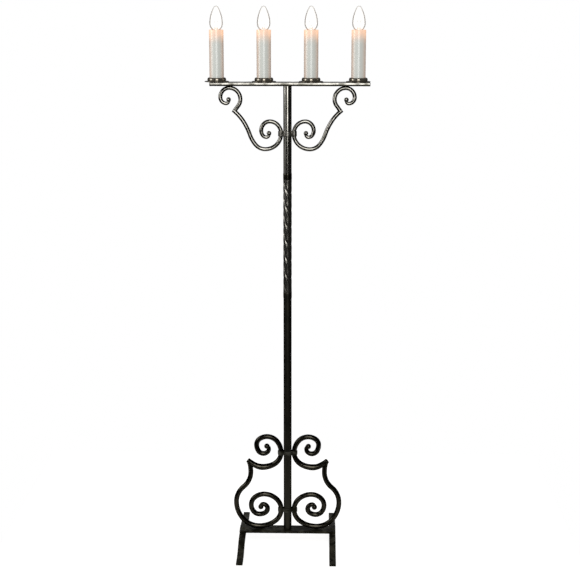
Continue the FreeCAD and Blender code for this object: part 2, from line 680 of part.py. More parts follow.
def build():
    """All sub-parts by name."""
    bracket = scroll(BRACKET_INNER, BRACKET_OUTER, bar_bottom,
                     BRACKET_ROD, BRACKET_ROD, BRACKET_TIP, BRACKET_BALL, BRACKET_KINK_END)
    lyre = scroll(BASE_INNER, BASE_OUTER, crossbar_top,
                  BASE_ROD, BASE_ARM, BASE_TIP, BASE_BALL, BASE_KINK_END)
    terminal = terminal_block()
    foot_x = FOOT_SPACING / 2
    nodes = {
        "foot_left": placed_foot(-foot_x),
        "foot_right": placed_foot(foot_x),
        "base_crossbar": crossbar(),
        "foot_rivets": Part.makeCompound([rivet(-foot_x), rivet(foot_x)]),
        "cord_bush": cord_bush(),
        "base_scroll_left": mirrored(lyre),
        "base_scroll_right": lyre,
        "base_collar_lower": collar(BASE_OUTER, crossbar_top, BASE_ROD, BASE_COLLAR_HEIGHT),
        "base_collar_upper": collar(BASE_INNER, crossbar_top, BASE_ROD, BASE_COLLAR_HEIGHT),
        "post_lower_tube": tube(POST_OD, post_bore, crossbar_top, LOWER_TUBE_LENGTH),
        "post_lower_ferrule": ferrule(lower_tube_top - FERRULE_LENGTH),
        "post_twisted_bar": twisted_bar(),
        "post_upper_ferrule": ferrule(upper_tube_bottom),
        "post_upper_tube": tube(POST_OD, post_bore, upper_tube_bottom, UPPER_TUBE_LENGTH),
        "post_top_plug": post_plug(),
        "post_nipple": nipple(),
        "post_nut": nipple_nut(),
        "bracket_scroll_left": mirrored(bracket),
        "bracket_scroll_right": bracket,
        "bracket_collar": collar(BRACKET_INNER, bar_bottom, BRACKET_ROD, BRACKET_COLLAR_HEIGHT),
        "candle_bar": candle_bar(),
        "bar_end_plugs": Part.makeCompound([bar_plug(bar_left), bar_plug(bar_right - BAR_PLUG_LENGTH)]),
        "terminal_block": terminal,
    }
    middle = (CANDLE_COUNT - 1) / 2
    leads = []
    for i, x in enumerate(candle_places):
        outer = abs(i - middle) > 1
        leads.append(lead(x, terminal, 0.5 if outer else -0.5))
    nodes["lamp_leads"] = Part.makeCompound(leads)
    nodes["lamp_risers"] = Part.makeCompound([riser(x) for x in candle_places])
    nodes["pan_nuts"] = Part.makeCompound([pan_nut(x) for x in candle_places])
    nodes["holder_shells"] = Part.makeCompound([holder_shell(x) for x in candle_places])
    nodes["holder_contacts"] = Part.makeCompound([holder_contact(x) for x in candle_places])
    repeated = {
        "drip_pan": drip_pan(),
        "lampholder": lampholder(),
        "candle_sleeve": candle_sleeve(),
        "lamp_glass": lamp_glass(),
        "lamp_cap": lamp_cap(),
        "lamp_stem": lamp_stem(),
        "lamp_filament": lamp_filament(),
    }
    for i, x in enumerate(candle_places):
        for name, shape in repeated.items():
            nodes[f"{name}_{i + 1}"] = moved(shape, x)
    return nodes


os.makedirs("parts", exist_ok=True)
for node, shape in build().items():
    shape.exportStep(f"parts/{node}.step")
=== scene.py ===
import math

import bmesh
import bpy
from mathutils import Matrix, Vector


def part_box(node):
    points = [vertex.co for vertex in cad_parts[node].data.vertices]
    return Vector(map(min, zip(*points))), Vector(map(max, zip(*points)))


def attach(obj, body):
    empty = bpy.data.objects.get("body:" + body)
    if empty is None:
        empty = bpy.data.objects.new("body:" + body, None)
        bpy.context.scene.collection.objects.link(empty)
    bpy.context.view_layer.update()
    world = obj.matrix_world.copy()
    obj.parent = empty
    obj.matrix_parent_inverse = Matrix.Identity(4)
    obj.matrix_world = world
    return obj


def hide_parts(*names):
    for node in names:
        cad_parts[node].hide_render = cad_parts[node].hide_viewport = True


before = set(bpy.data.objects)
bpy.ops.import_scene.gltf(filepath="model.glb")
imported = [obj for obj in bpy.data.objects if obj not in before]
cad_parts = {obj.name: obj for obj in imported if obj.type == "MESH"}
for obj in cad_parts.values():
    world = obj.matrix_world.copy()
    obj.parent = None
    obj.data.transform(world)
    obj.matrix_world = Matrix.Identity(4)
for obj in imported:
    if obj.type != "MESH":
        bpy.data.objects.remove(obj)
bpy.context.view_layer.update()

bl_info = {
    "name": "Floor candelabrum",
    "version": (1, 0, 0),
    "blender": (4, 5, 0),
    "location": "View3D > Sidebar > Candelabrum",
    "description": "Forged iron, enamelled pans, candle sleeves and lit lamps on the packed candelabrum",
    "category": "Add Mesh",
}

MM = 0.001
CANDLES = range(1, 5)

# Sizes of the iron, in millimetres. SIDES, RINGS, STEPS and GROOVES are counts, TWIST_START is in degrees,
# and TWIST_LAND is the cosine at which a groove meets a flat.
POST_RADIUS = 11.0
BAR_CORNER = 2.2
FLAT_CORNER = 1.2
FOOT_THICKNESS = 7.0
FOOT_PAD = 26.0
FOOT_SEAT = 7.0
STRAP_CORNER = 1.2
STRAP_HOLLOW = 1.2
STRAP_STEP = 0.8
STRAP_RING_STEP = 1.5
STRAP_GAP = 0.1
CORNER_STEPS = 4
CUT_BEVEL = 0.8
FERRULE_WALL = 0.7
FERRULE_BITE = 0.1
FERRULE_STEPS = 8
FERRULE_SIDES = 64
TWIST_GROOVES = 4
TWIST_PITCH = 184.0
TWIST_DEPTH = 1.3
TWIST_LAND = 0.05
TWIST_FLAT = 0.25
TWIST_FADE = 14.0
TWIST_START = -153.0
TWIST_SIDES = 96
TWIST_STEPS = 260
# Painted shade on the candle bar: how far the edge of its dark lower part wanders, and how soft that edge
# is
PAINTED_SHADE_WANDER = 4.0
PAINTED_SHADE_BLUR = 1.2
RIVET_HEAD = 11.0
RIVET_DOME = 2.2
RIVET_SIDES = 32
RIVET_RINGS = 24

# Scroll routes: out from the post's surface, height, heading in degrees.
# Bracket heights are measured from the underside of the bar.
BRACKET = {
    "rod": 11.0,
    "arm": 11.0,
    "tip": 8.6,
    "ball": 12.4,
    "kink_end": 5.0,
    "inner": [
        (37.6, -123.5, 260), (44, -134, 0), (58, -116.4, 90), (35.5, -92.6, 180),
        (5.55, -124.5, 270), (47.5, -165.5, 0), (88, -127, 71), (128, -66, 40),
    ],
    "outer": [
        (128, -66, 126), (112, -35, 90), (141, -5.55, 0), (164.5, -30, 270),
        (149, -46, 180), (143, -36, 80),
    ],
}
# Base heights are measured from the top of the crossbar.
LYRE = {
    "rod": 14.0,
    "arm": 17.5,
    "tip": 11.0,
    "ball": 15.0,
    "kink_end": 5.0,
    "inner": [
        (46.5, 243.3, 215), (41, 235.8, 270), (56, 221.8, 0), (75, 247.6, 90), (46, 271.2, 180),
        (7.05, 225, 270), (8.9, 213.4, 288), (59, 182.2, 0), (96, 199, 40),
    ],
    "outer": [
        (96, 199, 252), (91.5, 168, 270), (132.5, 79, 270), (69, 7.05, 180), (7.05, 57, 90),
        (55, 102, 0), (91, 69.8, 270), (67.5, 42.2, 180), (45.3, 59.3, 90), (58, 72.2, 0), (64, 64.2, 275),
    ],
}
# Scrolls taper over their first stations, and the arm before the kink is thickened over its last ones.
TAPER_STATIONS = 3
ARM_STATIONS = 3
BALL_STEPS = 9
ROD_STEP = 1.3
ROD_SIDES = 28
TUBE_STEP = 3.0
TUBE_SIDES = 48
BAR_STEP = 2.0
# Edges sharper than this are creased, in degrees
FORGED_CREASE = 50
TURNED_CREASE = 40

# Hammer marks of each kind of piece: depth and spacing, as shares of what is set
MARKS = {
    "rod": (1.0, 1.0),
    "tube": (0.12, 1.6),
    "ferrule": (0.2, 0.8),
    "twist": (0.06, 1.6),
    "bar": (1.3, 1.2),
    "foot": (1.2, 1.0),
    "strap": (0.5, 0.7),
}

# Iron of each place: name, setting for its hollows, setting for its high spots, metallic, roughness
IRON_FINISHES = {
    "head": ("Burnished wrought iron", "oxide", "worn", 1.0, 0.13),
    # The stand and tube irons are the head's iron in darker colours, as painted shade for light that falls
    # off downwards; the lower tube is all painted shade, and the base scrolls are partly blackened as well
    "stand": ("Blackened wrought iron", "base_shaded_oxide", "base_shaded_worn", 1.0, 0.19),
    "tube": ("Blackened iron tube", "base_shaded_worn", "filed", 1.0, 0.38),
    "twist": ("Twisted wrought iron", "oxide", "worn", 1.0, 0.22),
    # The candle bar's iron takes painted shade below its middle
    "bar": ("Rubbed wrought iron", "bar_oxide", "worn", 1.0, 0.17),
    "clasp": ("Brushed wrought iron", "bar_oxide", "worn", 1.0, 0.32),
    "collar": ("Filed wrought iron", "scale", "filed", 0.0, 0.4),
    "foot": ("Scaled wrought iron", "scale", "scale_worn", 0.0, 0.6),
}
# Edge tint of the bar, and the faint painted glow of the lamps' glass and stems
BAR_RIM = 0.35
GLASS_PAINTED_GLOW = 0.03
STEM_PAINTED_GLOW = 0.05

# Plain finishes: two shades, size of the grain in millimetres, metallic, roughness, relief in millimetres
PLAIN_FINISHES = {
    "Nickel plated brass": ("#b9b3a4", "#cfcabd", 3.0, 1.0, 0.25, 0.03),
    "Drawn nickel wire": ("#9d988d", "#b5b0a5", 1.0, 1.0, 0.3, 0.01),
    "Moulded phenolic": ("#14110f", "#1f1a17", 2.0, 0.0, 0.35, 0.04),
    "Drawn brass": ("#a98745", "#c29f58", 4.0, 1.0, 0.3, 0.02),
    "Zinc plated steel": ("#9fa0a0", "#b9bab8", 5.0, 1.0, 0.36, 0.02),
    "Extruded PVC sheath": ("#d6d2c8", "#e2dfd6", 3.0, 0.0, 0.45, 0.02),
    "Moulded nylon": ("#e2e0da", "#eceae5", 4.0, 0.0, 0.4, 0.03),
    "Black moulded rubber": ("#0f0f0f", "#1b1b1a", 1.5, 0.0, 0.7, 0.06),
}
# Plain finish of fittings that keep their CAD shape
FITTINGS = {
    "cord_bush": "Black moulded rubber",
    "post_top_plug": "Zinc plated steel",
    "post_nipple": "Zinc plated steel",
    "post_nut": "Zinc plated steel",
    "terminal_block": "Moulded nylon",
    "lamp_leads": "Extruded PVC sheath",
    "lamp_risers": "Zinc plated steel",
    "pan_nuts": "Zinc plated steel",
    "holder_shells": "Drawn brass",
    "holder_contacts": "Drawn brass",
}
# Sizes in the other finishes, in millimetres
RUBBED_PATCH = 22.0
FIRE_SCALE = 1.5
ENAMEL_CAST = 9.0
ORANGE_PEEL = 2.5
DRAW_LINE = 2.0
GLOW_WANDER = 16.0
GLOW_PAST_TOP = 12.0
HEAT_PATCH = 3.0
# Colours that aren't among the settings
ENAMEL_BROWN = "#958878"
SLEEVE_LINES = "#dadcd5"
# Pale warm tint that paints the lamps' light onto the tops of the sleeves
SLEEVE_LIT = "#f0d6c6"
GLASS_LIGHT = "#fff0d8"
TUNGSTEN = "#8a8780"
TUNGSTEN_DIM = "#ffd9a0"
TUNGSTEN_BRIGHT = "#fff3dc"

# Sizes of the drip pans, candles and lamps, in millimetres.
# SIDES, STEPS, TURNS and POINTS are counts, and GLASS_SHOULDER is an angle in degrees.
PAN_FLANGE = 7.4
PAN_EDGE = 2.0
PAN_WALL = 5.4
PAN_SLOPE = 1.2
PAN_WIDEST = 2.2
PAN_CROWN = 3.2
PAN_COVE = 1.2
PAN_LIP = 0.6
PAN_FLOOR = 6.0
PAN_BORE = 5.1
PAN_EDGE_STEPS = 8
PAN_RING_STEPS = 20
TURNED_SIDES = 96
SLEEVE_WALL = 0.9
SLEEVE_LIP = 0.4
SLEEVE_STEPS = 24
SLEEVE_LIP_STEPS = 7
GLASS_WALL = 0.9
GLASS_BELLY = 17.5
GLASS_NECK = 6.05
GLASS_THROAT = 10.5
GLASS_WIDEST = 39.4
GLASS_TIP = 7.0
GLASS_SHOULDER = 30
GLASS_TIP_STEPS = 5
GLASS_STEP = 1.2
THREAD_PITCH = 2.82
THREAD_WIRE = 0.75
THREAD_TURNS = 4.6
THREAD_START = 7.4
THREAD_POINTS = 40
THREAD_SIDES = 10
CAP_SIDES = 64
CAP_ROOT = 6.2
COIL_RADIUS = 0.42
COIL_WIRE = 0.11
COIL_TURNS = 30
COIL_POINTS = 10
COIL_SIDES = 6
COIL_ARCH = 5.0
COIL_DROP = 5.4
SUPPORT_WIRE = 0.2
SUPPORT_SIDES = 10
SUPPORT_ROOT = 0.75
SUPPORT_BEND = 0.9
SUPPORT_RISE = 2.0
SUPPORT_STEP = 2.0
SUPPORT_BEND_STEP = 0.5
# A lamp cap's half outline: (radius, height above its contact), then (radius, depth below its rim)
CAP_FOOT = [(0, 0), (2.2, 0), (2.5, 0.3), (2.5, 1.2), (3.6, 1.6), (CAP_ROOT - 0.8, 5.6), (CAP_ROOT, 6.6)]
CAP_HEAD = [(CAP_ROOT, 3.2), (8.3, 0.3), (8.4, 0), (7.7, 0), (6.15, 2.9), (6.15, 12.1), (0, 12.1)]

# Where the paper floor ends, in metres, and how much white it adds in the picture
FLOOR_SIDE = 0.8
FLOOR_FRONT = -0.38
FLOOR_BACK = 0.7
FLOOR_LIFT = 0.82

# Soft lights: place, width and height in metres, the way it faces, and the setting for its power
LIGHTS = {
    "front_softbox": ((0.2, -3.5, 2.6), (1.6, 3.6), (0.0, 1.0, 0.0), "front_power"),
    "side_strip": ((-2.6, -0.75, 1.95), (0.9, 1.8), (1.0, 0.0, 0.0), "side_power"),
    "side_panel": ((-2.7, -1.4, 1.75), (5.0, 2.2), (1.0, 0.0, 0.0), "panel_power"),
}
# In reflections the backdrop begins, and is whole, where the view runs this far towards the back, of 1
BACKDROP_FROM = 0.9
BACKDROP_WHOLE = 0.98


def linear(colour):
    """Linear RGBA of an sRGB hex colour."""
    parts = [int(colour[i:i + 2], 16) / 255 for i in (1, 3, 5)]
    return tuple(c / 12.92 if c <= 0.04045 else ((c + 0.055) / 1.055) ** 2.4 for c in parts) + (1.0,)


def colour_setting(name, description, colour):
    """Colour property with an sRGB hex default."""
    return bpy.props.FloatVectorProperty(
        name=name, description=description, size=4, subtype="COLOR", min=0.0, max=1.0,
        default=linear(colour))


def power_setting(name, description, power):
    """Power property of a lamp, in watts."""
    return bpy.props.FloatProperty(
        name=name, description=description, default=power, min=0.0, unit="POWER")


class IronSettings(bpy.types.PropertyGroup):
    """Hammer marks and colours of the ironwork"""
    hammer_depth: bpy.props.FloatProperty(
        name="Hammer depth", description="Depth of the hammer marks", default=0.16 * MM,
        min=0.0, max=2 * MM, unit="LENGTH", subtype="DISTANCE")
    hammer_spacing: bpy.props.FloatProperty(
        name="Hammer spacing", description="Distance between hammer marks", default=9 * MM,
        min=MM, max=50 * MM, unit="LENGTH", subtype="DISTANCE")
    oxide: colour_setting("Oxide", "Colour of the burnished iron in its hollows", "#949289")
    worn: colour_setting("Worn", "Colour of the burnished iron on its high spots", "#adaaa2")
    bar_oxide: colour_setting("Bar oxide", "Colour of hollows in the bar and bracket collar", "#74726a")
    # The two base colours are darker than the head's partly from blackening and mostly as painted shade;
    # the darker one also paints the shade on the candle bar's lower part
    base_shaded_oxide: colour_setting("Base oxide", "Colour of the blackened iron in its hollows", "#3a3830")
    base_shaded_worn: colour_setting("Base worn", "Colour of the blackened iron on its high spots", "#4b483f")
    scale: colour_setting("Scale", "Colour of dull scale on feet, crossbar and base collars", "#1b1a13")
    scale_worn: colour_setting("Scale worn", "Colour of trodden places on feet and crossbar", "#3a382e")
    filed: colour_setting("Filed", "Colour of filed places on base collars and lower tube", "#47463f")


class CandleSettings(bpy.types.PropertyGroup):
    """Colours and light of the pans, sleeves and lamps"""
    sleeve: colour_setting("Sleeve", "Colour of the candle sleeves", "#e6e9e2")
    # Painted light: a warm tint along the sleeves' sides, and the painted glow of the lamps at their tops
    sleeve_painted_edge_light: colour_setting(
        "Sleeve edge", "Colour of the sleeves where the eye runs along the wall", "#f2dccb")
    glow: colour_setting("Glow", "Colour of the lamp's light in the top of a sleeve", "#d49c6c")
    glow_reach: bpy.props.FloatProperty(
        name="Glow reach", description="How far the lamp's light shows down a sleeve",
        default=33 * MM, min=MM, max=120 * MM, unit="LENGTH", subtype="DISTANCE")
    # Painted shade: the lamp glass turns this grey where the eye runs along its wall
    glass_painted_edge_shade: colour_setting("Glass edge", "Colour of the lamp glass seen along its wall", "#857e77")
    filament_strength: bpy.props.FloatProperty(
        name="Filament", description="Brightness of the lit filaments", default=3.0, min=0.0)
    pan: colour_setting("Pan", "Colour of the drip pans' enamel", "#b2b0a4")


class StageSettings(bpy.types.PropertyGroup):
    """Camera, floor and lights"""
    camera_place: bpy.props.FloatVectorProperty(
        name="Camera", description="Where the camera stands", size=3, subtype="TRANSLATION",
        default=(0.090, -3.386, 1.4835), unit="LENGTH")
    camera_tilt: bpy.props.FloatProperty(
        name="Tilt", description="How far the camera looks down", default=math.radians(12.7),
        subtype="ANGLE", unit="ROTATION")
    camera_turn: bpy.props.FloatProperty(
        name="Turn", description="How far the camera looks to the left", default=math.radians(1.41),
        subtype="ANGLE", unit="ROTATION")
    lens: bpy.props.FloatProperty(
        name="Lens", description="Focal length on a 36 mm sensor", default=79.88, min=10.0,
        unit="CAMERA")
    floor: colour_setting("Floor", "Colour of the floor", "#c8c6c2")
    front_power: power_setting("Front light", "Power of the tall soft light above the camera", 56.0)
    side_power: power_setting("Side light", "Power of the upright soft light on the left", 15.0)
    panel_power: power_setting("Side panel", "Power of the wide dim panel on the left", 10.0)
    fill: bpy.props.FloatProperty(
        name="Fill", description="Strength of the even light from all round", default=0.42, min=0.0)
    room: bpy.props.FloatProperty(
        name="Room", description="Brightness of the room beside the backdrop, in reflections",
        default=0.015, min=0.0)


def add_node(tree, kind, inputs=None, **settings):
    """Adds a node, sets its properties, and fills or links its inputs by name or number.

    A node given as an input stands for its first output.
    """
    node = tree.nodes.new(kind)
    for name, value in settings.items():
        setattr(node, name, value)
    for key, value in (inputs or {}).items():
        if isinstance(value, bpy.types.Node):
            value = value.outputs[0]
        if isinstance(value, bpy.types.NodeSocket):
            tree.links.new(value, node.inputs[key])
        else:
            node.inputs[key].default_value = value
    return node


def new_material(name):
    """Empty node material, and its tree."""
    material = bpy.data.materials.new(name)
    material.use_nodes = True
    # What glows isn't sampled as a lamp
    material.cycles.emission_sampling = "NONE"
    material.node_tree.nodes.clear()
    return material, material.node_tree


def wrought_iron(name, oxide, worn, metallic, roughness, rim=0.0, black=None, painted_shade_top=0.0):
    """Hand forged iron: a dark sheen where the metal shows, or a dull crust of scale, paler on the high
    spots.

    With a black colour it gets painted shade: dark below a height, and its own colour above it.
    """
    material, tree = new_material(name)
    place = add_node(tree, "ShaderNodeTexCoord").outputs["Object"]
    patches = add_node(tree, "ShaderNodeTexNoise", {
        "Vector": place, "Scale": 1 / (RUBBED_PATCH * MM), "Detail": 4.0})
    grain = add_node(tree, "ShaderNodeTexNoise", {
        "Vector": place, "Scale": 1 / (FIRE_SCALE * MM), "Detail": 3.0})
    both = add_node(tree, "ShaderNodeMath", {0: grain, 1: 0.25, 2: patches}, operation="MULTIPLY_ADD")
    share = add_node(tree, "ShaderNodeMapRange", {
        0: both, 1: 0.52, 2: 0.74, 3: 0.0, 4: 1.0}, interpolation_type="SMOOTHSTEP")
    colour = add_node(tree, "ShaderNodeMix", {0: share, 6: oxide, 7: worn}, data_type="RGBA")
    # Painted shade: below a wandering height the surface takes the dark colour, and above it keeps its own
    if black:
        height = add_node(tree, "ShaderNodeSeparateXYZ", {0: place}).outputs[2]
        uneven = add_node(tree, "ShaderNodeMath", {
            0: patches, 1: PAINTED_SHADE_WANDER * MM, 2: height}, operation="MULTIPLY_ADD")
        above_painted_shade = add_node(tree, "ShaderNodeMapRange", {
            0: uneven, 1: painted_shade_top - PAINTED_SHADE_BLUR * MM, 2: painted_shade_top + PAINTED_SHADE_BLUR * MM,
            3: 0.0, 4: 1.0}, interpolation_type="SMOOTHSTEP")
        colour = add_node(tree, "ShaderNodeMix", {
            0: above_painted_shade, 6: black, 7: colour.outputs[2]}, data_type="RGBA")
    dull = add_node(tree, "ShaderNodeMapRange", {
        0: both, 1: 0.4, 2: 0.9, 3: roughness + 0.05, 4: roughness - 0.05})
    bump = add_node(tree, "ShaderNodeBump", {"Strength": 0.06, "Distance": 0.06 * MM, "Height": both})
    # A dark tint keeps the blackened surface dark along its outline
    shader = add_node(tree, "ShaderNodeBsdfPrincipled", {
        "Base Color": colour.outputs[2], "Metallic": metallic, "Roughness": dull,
        "Specular Tint": (rim, rim, rim, 1.0), "Normal": bump})
    add_node(tree, "ShaderNodeOutputMaterial", {"Surface": shader})
    return material


def stove_enamel(name, colour):
    """Bronzed stove enamel on steel: a dark metallic gloss, olive to red brown, with orange peel."""
    material, tree = new_material(name)
    place = add_node(tree, "ShaderNodeTexCoord").outputs["Object"]
    cast = add_node(tree, "ShaderNodeTexNoise", {
        "Vector": place, "Scale": 1 / (ENAMEL_CAST * MM), "Detail": 3.0})
    peel = add_node(tree, "ShaderNodeTexNoise", {"Vector": place, "Scale": 1 / (ORANGE_PEEL * MM)})
    tint = add_node(tree, "ShaderNodeMix", {0: cast, 6: colour, 7: linear(ENAMEL_BROWN)}, data_type="RGBA")
    bump = add_node(tree, "ShaderNodeBump", {"Strength": 0.4, "Distance": 0.08 * MM, "Height": peel})
    shader = add_node(tree, "ShaderNodeBsdfPrincipled", {
        "Base Color": tint.outputs[2], "Metallic": 0.85, "Roughness": 0.12,
        "Specular Tint": (0.0, 0.0, 0.0, 1.0), "Normal": bump})
    add_node(tree, "ShaderNodeOutputMaterial", {"Surface": shader})
    return material


def glowing_sleeve(name, settings, top):
    """Drawn plastic tube: glossy ivory, faintly ribbed, with painted warm light along its sides and a
    painted glow of the lamp at its top.
    """
    material, tree = new_material(name)
    place = add_node(tree, "ShaderNodeTexCoord").outputs["Object"]
    height = add_node(tree, "ShaderNodeSeparateXYZ", {0: place}).outputs[2]
    # Draw lines run the length of the tube
    stretch = add_node(tree, "ShaderNodeMapping", {"Vector": place, "Scale": (1.0, 1.0, 0.02)})
    lines = add_node(tree, "ShaderNodeTexNoise", {
        "Vector": stretch, "Scale": 1 / (DRAW_LINE * MM), "Detail": 2.0})
    # The glow's lower edge wanders up and down
    cloud = add_node(tree, "ShaderNodeTexNoise", {
        "Vector": place, "Scale": 1 / (GLOW_WANDER * MM), "Detail": 2.0})
    uneven = add_node(tree, "ShaderNodeMath", {
        0: cloud, 1: GLOW_WANDER * MM, 2: height}, operation="MULTIPLY_ADD")
    glow = add_node(tree, "ShaderNodeMapRange", {
        0: uneven, 1: top - settings.glow_reach, 2: top + GLOW_PAST_TOP * MM, 3: 0.0, 4: 1.0},
        interpolation_type="SMOOTHERSTEP")
    warm = add_node(tree, "ShaderNodeMix", {
        0: glow, 6: (0.0, 0.0, 0.0, 1.0), 7: settings.glow}, data_type="RGBA")
    # Painted light: the wall is warmer, and its painted glow stronger, where the eye runs along it
    facing = add_node(tree, "ShaderNodeLayerWeight", {"Blend": 0.5})
    side = add_node(tree, "ShaderNodeMapRange", {
        0: facing.outputs["Facing"], 1: 0.03, 2: 0.5, 3: 0.0, 4: 1.0}, interpolation_type="SMOOTHSTEP")
    strength = add_node(tree, "ShaderNodeMapRange", {0: side, 1: 0.0, 2: 1.0, 3: 0.55, 4: 0.85})
    tone = add_node(tree, "ShaderNodeMix", {
        0: lines, 6: settings.sleeve, 7: linear(SLEEVE_LINES)}, data_type="RGBA")
    edged = add_node(tree, "ShaderNodeMix", {
        0: side, 6: tone.outputs[2], 7: settings.sleeve_painted_edge_light}, data_type="RGBA")
    # Painted lamplight: the top of the sleeve takes a pale warm tint
    lit = add_node(tree, "ShaderNodeMix", {
        0: glow, 6: edged.outputs[2], 7: linear(SLEEVE_LIT)}, data_type="RGBA")
    bump = add_node(tree, "ShaderNodeBump", {"Strength": 0.06, "Distance": 0.05 * MM, "Height": lines})
    # The emission is a painted glow of the lamp within; the sleeve itself is no lamp
    shader = add_node(tree, "ShaderNodeBsdfPrincipled", {
        "Base Color": lit.outputs[2], "Roughness": 0.24, "IOR": 1.8, "Emission Color": warm.outputs[2],
        "Emission Strength": strength, "Normal": bump})
    add_node(tree, "ShaderNodeOutputMaterial", {"Surface": shader})
    return material


def blown_glass(name, edge, painted_glow):
    """Blown soda glass: clear face on, with painted shade in grey where the eye runs along the wall, and a
    faint painted glow.
    """
    material, tree = new_material(name)
    facing = add_node(tree, "ShaderNodeLayerWeight", {"Blend": 0.5})
    ring = add_node(tree, "ShaderNodeMapRange", {
        0: facing.outputs["Facing"], 1: 0.35, 2: 0.65, 3: 0.0, 4: 1.0}, interpolation_type="SMOOTHSTEP")
    colour = add_node(tree, "ShaderNodeMix", {
        0: ring, 6: (1.0, 1.0, 1.0, 1.0), 7: edge}, data_type="RGBA")
    # Painted shade and glow: grey at the grazing wall, and a faint emission, though the glass is no lamp
    shader = add_node(tree, "ShaderNodeBsdfPrincipled", {
        "Base Color": colour.outputs[2], "Roughness": 0.0, "IOR": 1.5, "Transmission Weight": 1.0,
        "Emission Color": linear(GLASS_LIGHT), "Emission Strength": painted_glow})
    add_node(tree, "ShaderNodeOutputMaterial", {"Surface": shader})
    return material


def lit_tungsten(name, strength):
    """Tungsten wire at white heat."""
    material, tree = new_material(name)
    place = add_node(tree, "ShaderNodeTexCoord").outputs["Object"]
    heat = add_node(tree, "ShaderNodeTexNoise", {"Vector": place, "Scale": 1 / (HEAT_PATCH * MM)})
    colour = add_node(tree, "ShaderNodeMix", {
        0: heat, 6: linear(TUNGSTEN_DIM), 7: linear(TUNGSTEN_BRIGHT)}, data_type="RGBA")
    shader = add_node(tree, "ShaderNodeBsdfPrincipled", {
        "Base Color": linear(TUNGSTEN), "Metallic": 1.0, "Roughness": 0.4,
        "Emission Color": colour.outputs[2], "Emission Strength": strength})
    add_node(tree, "ShaderNodeOutputMaterial", {"Surface": shader})
    return material


def plain_finish(name):
    """Machined, plated or moulded finish: two close shades in fine grain, with gloss to match."""
    if name in bpy.data.materials:
        return bpy.data.materials[name]
    low, high, spacing, metallic, roughness, relief = PLAIN_FINISHES[name]
    material, tree = new_material(name)
    place = add_node(tree, "ShaderNodeTexCoord").outputs["Object"]
    grain = add_node(tree, "ShaderNodeTexNoise", {
        "Vector": place, "Scale": 1 / (spacing * MM), "Detail": 4.0})
    colour = add_node(tree, "ShaderNodeMix", {
        0: grain, 6: linear(low), 7: linear(high)}, data_type="RGBA")
    gloss = add_node(tree, "ShaderNodeMapRange", {
        0: grain, 1: 0.3, 2: 0.7, 3: roughness + 0.07, 4: roughness - 0.05})
    bump = add_node(tree, "ShaderNodeBump", {"Strength": 0.5, "Distance": relief * MM, "Height": grain})
    shader = add_node(tree, "ShaderNodeBsdfPrincipled", {
        "Base Color": colour.outputs[2], "Metallic": metallic, "Roughness": gloss, "Normal": bump})
    add_node(tree, "ShaderNodeOutputMaterial", {"Surface": shader})
    return material


def new_tree(name, sockets):
    """Geometry node tree with a geometry in and out and these named inputs."""
    tree = bpy.data.node_groups.new(name, "GeometryNodeTree")
    tree.interface.new_socket(name="Geometry", in_out="OUTPUT", socket_type="NodeSocketGeometry")
    tree.interface.new_socket(name="Geometry", in_out="INPUT", socket_type="NodeSocketGeometry")
    for label, kind in sockets.items():
        tree.interface.new_socket(name=label, in_out="INPUT", socket_type="NodeSocket" + kind)
    return tree, tree.nodes.new("NodeGroupInput")


def close_tree(tree, start, geometry):
    """Realizes what the tree made, shades it smooth, gives it its material and ends the tree."""
    real = add_node(tree, "GeometryNodeRealizeInstances", {0: geometry})
    smooth = add_node(tree, "GeometryNodeSetShadeSmooth", {"Geometry": real})
    dressed = add_node(tree, "GeometryNodeSetMaterial", {
        "Geometry": smooth, "Material": start.outputs["Material"]})
    add_node(tree, "NodeGroupOutput", {0: dressed})
    return tree


def close_hammered(tree, start, geometry):
    """Hammers what the tree made, and ends the tree."""
    marks = add_node(tree, "GeometryNodeGroup", {
        "Geometry": geometry, "Depth": start.outputs["Depth"], "Spacing": start.outputs["Spacing"]},
        node_tree=node_tree("Hammer marks"))
    return close_tree(tree, start, marks)


def hammer_tree():
    """Shallow dents all over a mesh, deepest in the middle of each blow, never standing proud."""
    tree, start = new_tree("Hammer marks", {"Depth": "Float", "Spacing": "Float"})
    place = add_node(tree, "GeometryNodeInputPosition")
    scale = add_node(tree, "ShaderNodeMath", {0: 1.0, 1: start.outputs["Spacing"]}, operation="DIVIDE")
    cells = add_node(tree, "ShaderNodeTexVoronoi", {
        "Vector": place, "Scale": scale, "Smoothness": 0.35}, feature="SMOOTH_F1")
    ridge = add_node(tree, "ShaderNodeMapRange", {
        0: cells, 1: 0.1, 2: 0.7, 3: -1.0, 4: 0.0}, interpolation_type="SMOOTHSTEP")
    dent = add_node(tree, "ShaderNodeMath", {0: ridge, 1: start.outputs["Depth"]}, operation="MULTIPLY")
    normal = add_node(tree, "GeometryNodeInputNormal")
    shift = add_node(tree, "ShaderNodeVectorMath", {0: normal, "Scale": dent}, operation="SCALE")
    moved = add_node(tree, "GeometryNodeSetPosition", {
        "Geometry": start.outputs["Geometry"], "Offset": shift})
    add_node(tree, "NodeGroupOutput", {0: moved})
    return tree


def rod_tree():
    """Round bar along a curve, as thick as the curve's radius, hammered."""
    tree, start = new_tree("Forged rod", {
        "Sides": "Int", "Depth": "Float", "Spacing": "Float", "Material": "Material"})
    ring = add_node(tree, "GeometryNodeCurvePrimitiveCircle", {
        "Resolution": start.outputs["Sides"], "Radius": 1.0})
    thick = add_node(tree, "GeometryNodeInputRadius")
    bar = add_node(tree, "GeometryNodeCurveToMesh", {
        "Curve": start.outputs["Geometry"], "Profile Curve": ring, "Scale": thick, "Fill Caps": True})
    return close_hammered(tree, start, bar)


def flat_tree():
    """Hammers a bar or ring that is given as a mesh."""
    tree, start = new_tree("Hammered bar", {"Depth": "Float", "Spacing": "Float", "Material": "Material"})
    return close_hammered(tree, start, start.outputs["Geometry"])


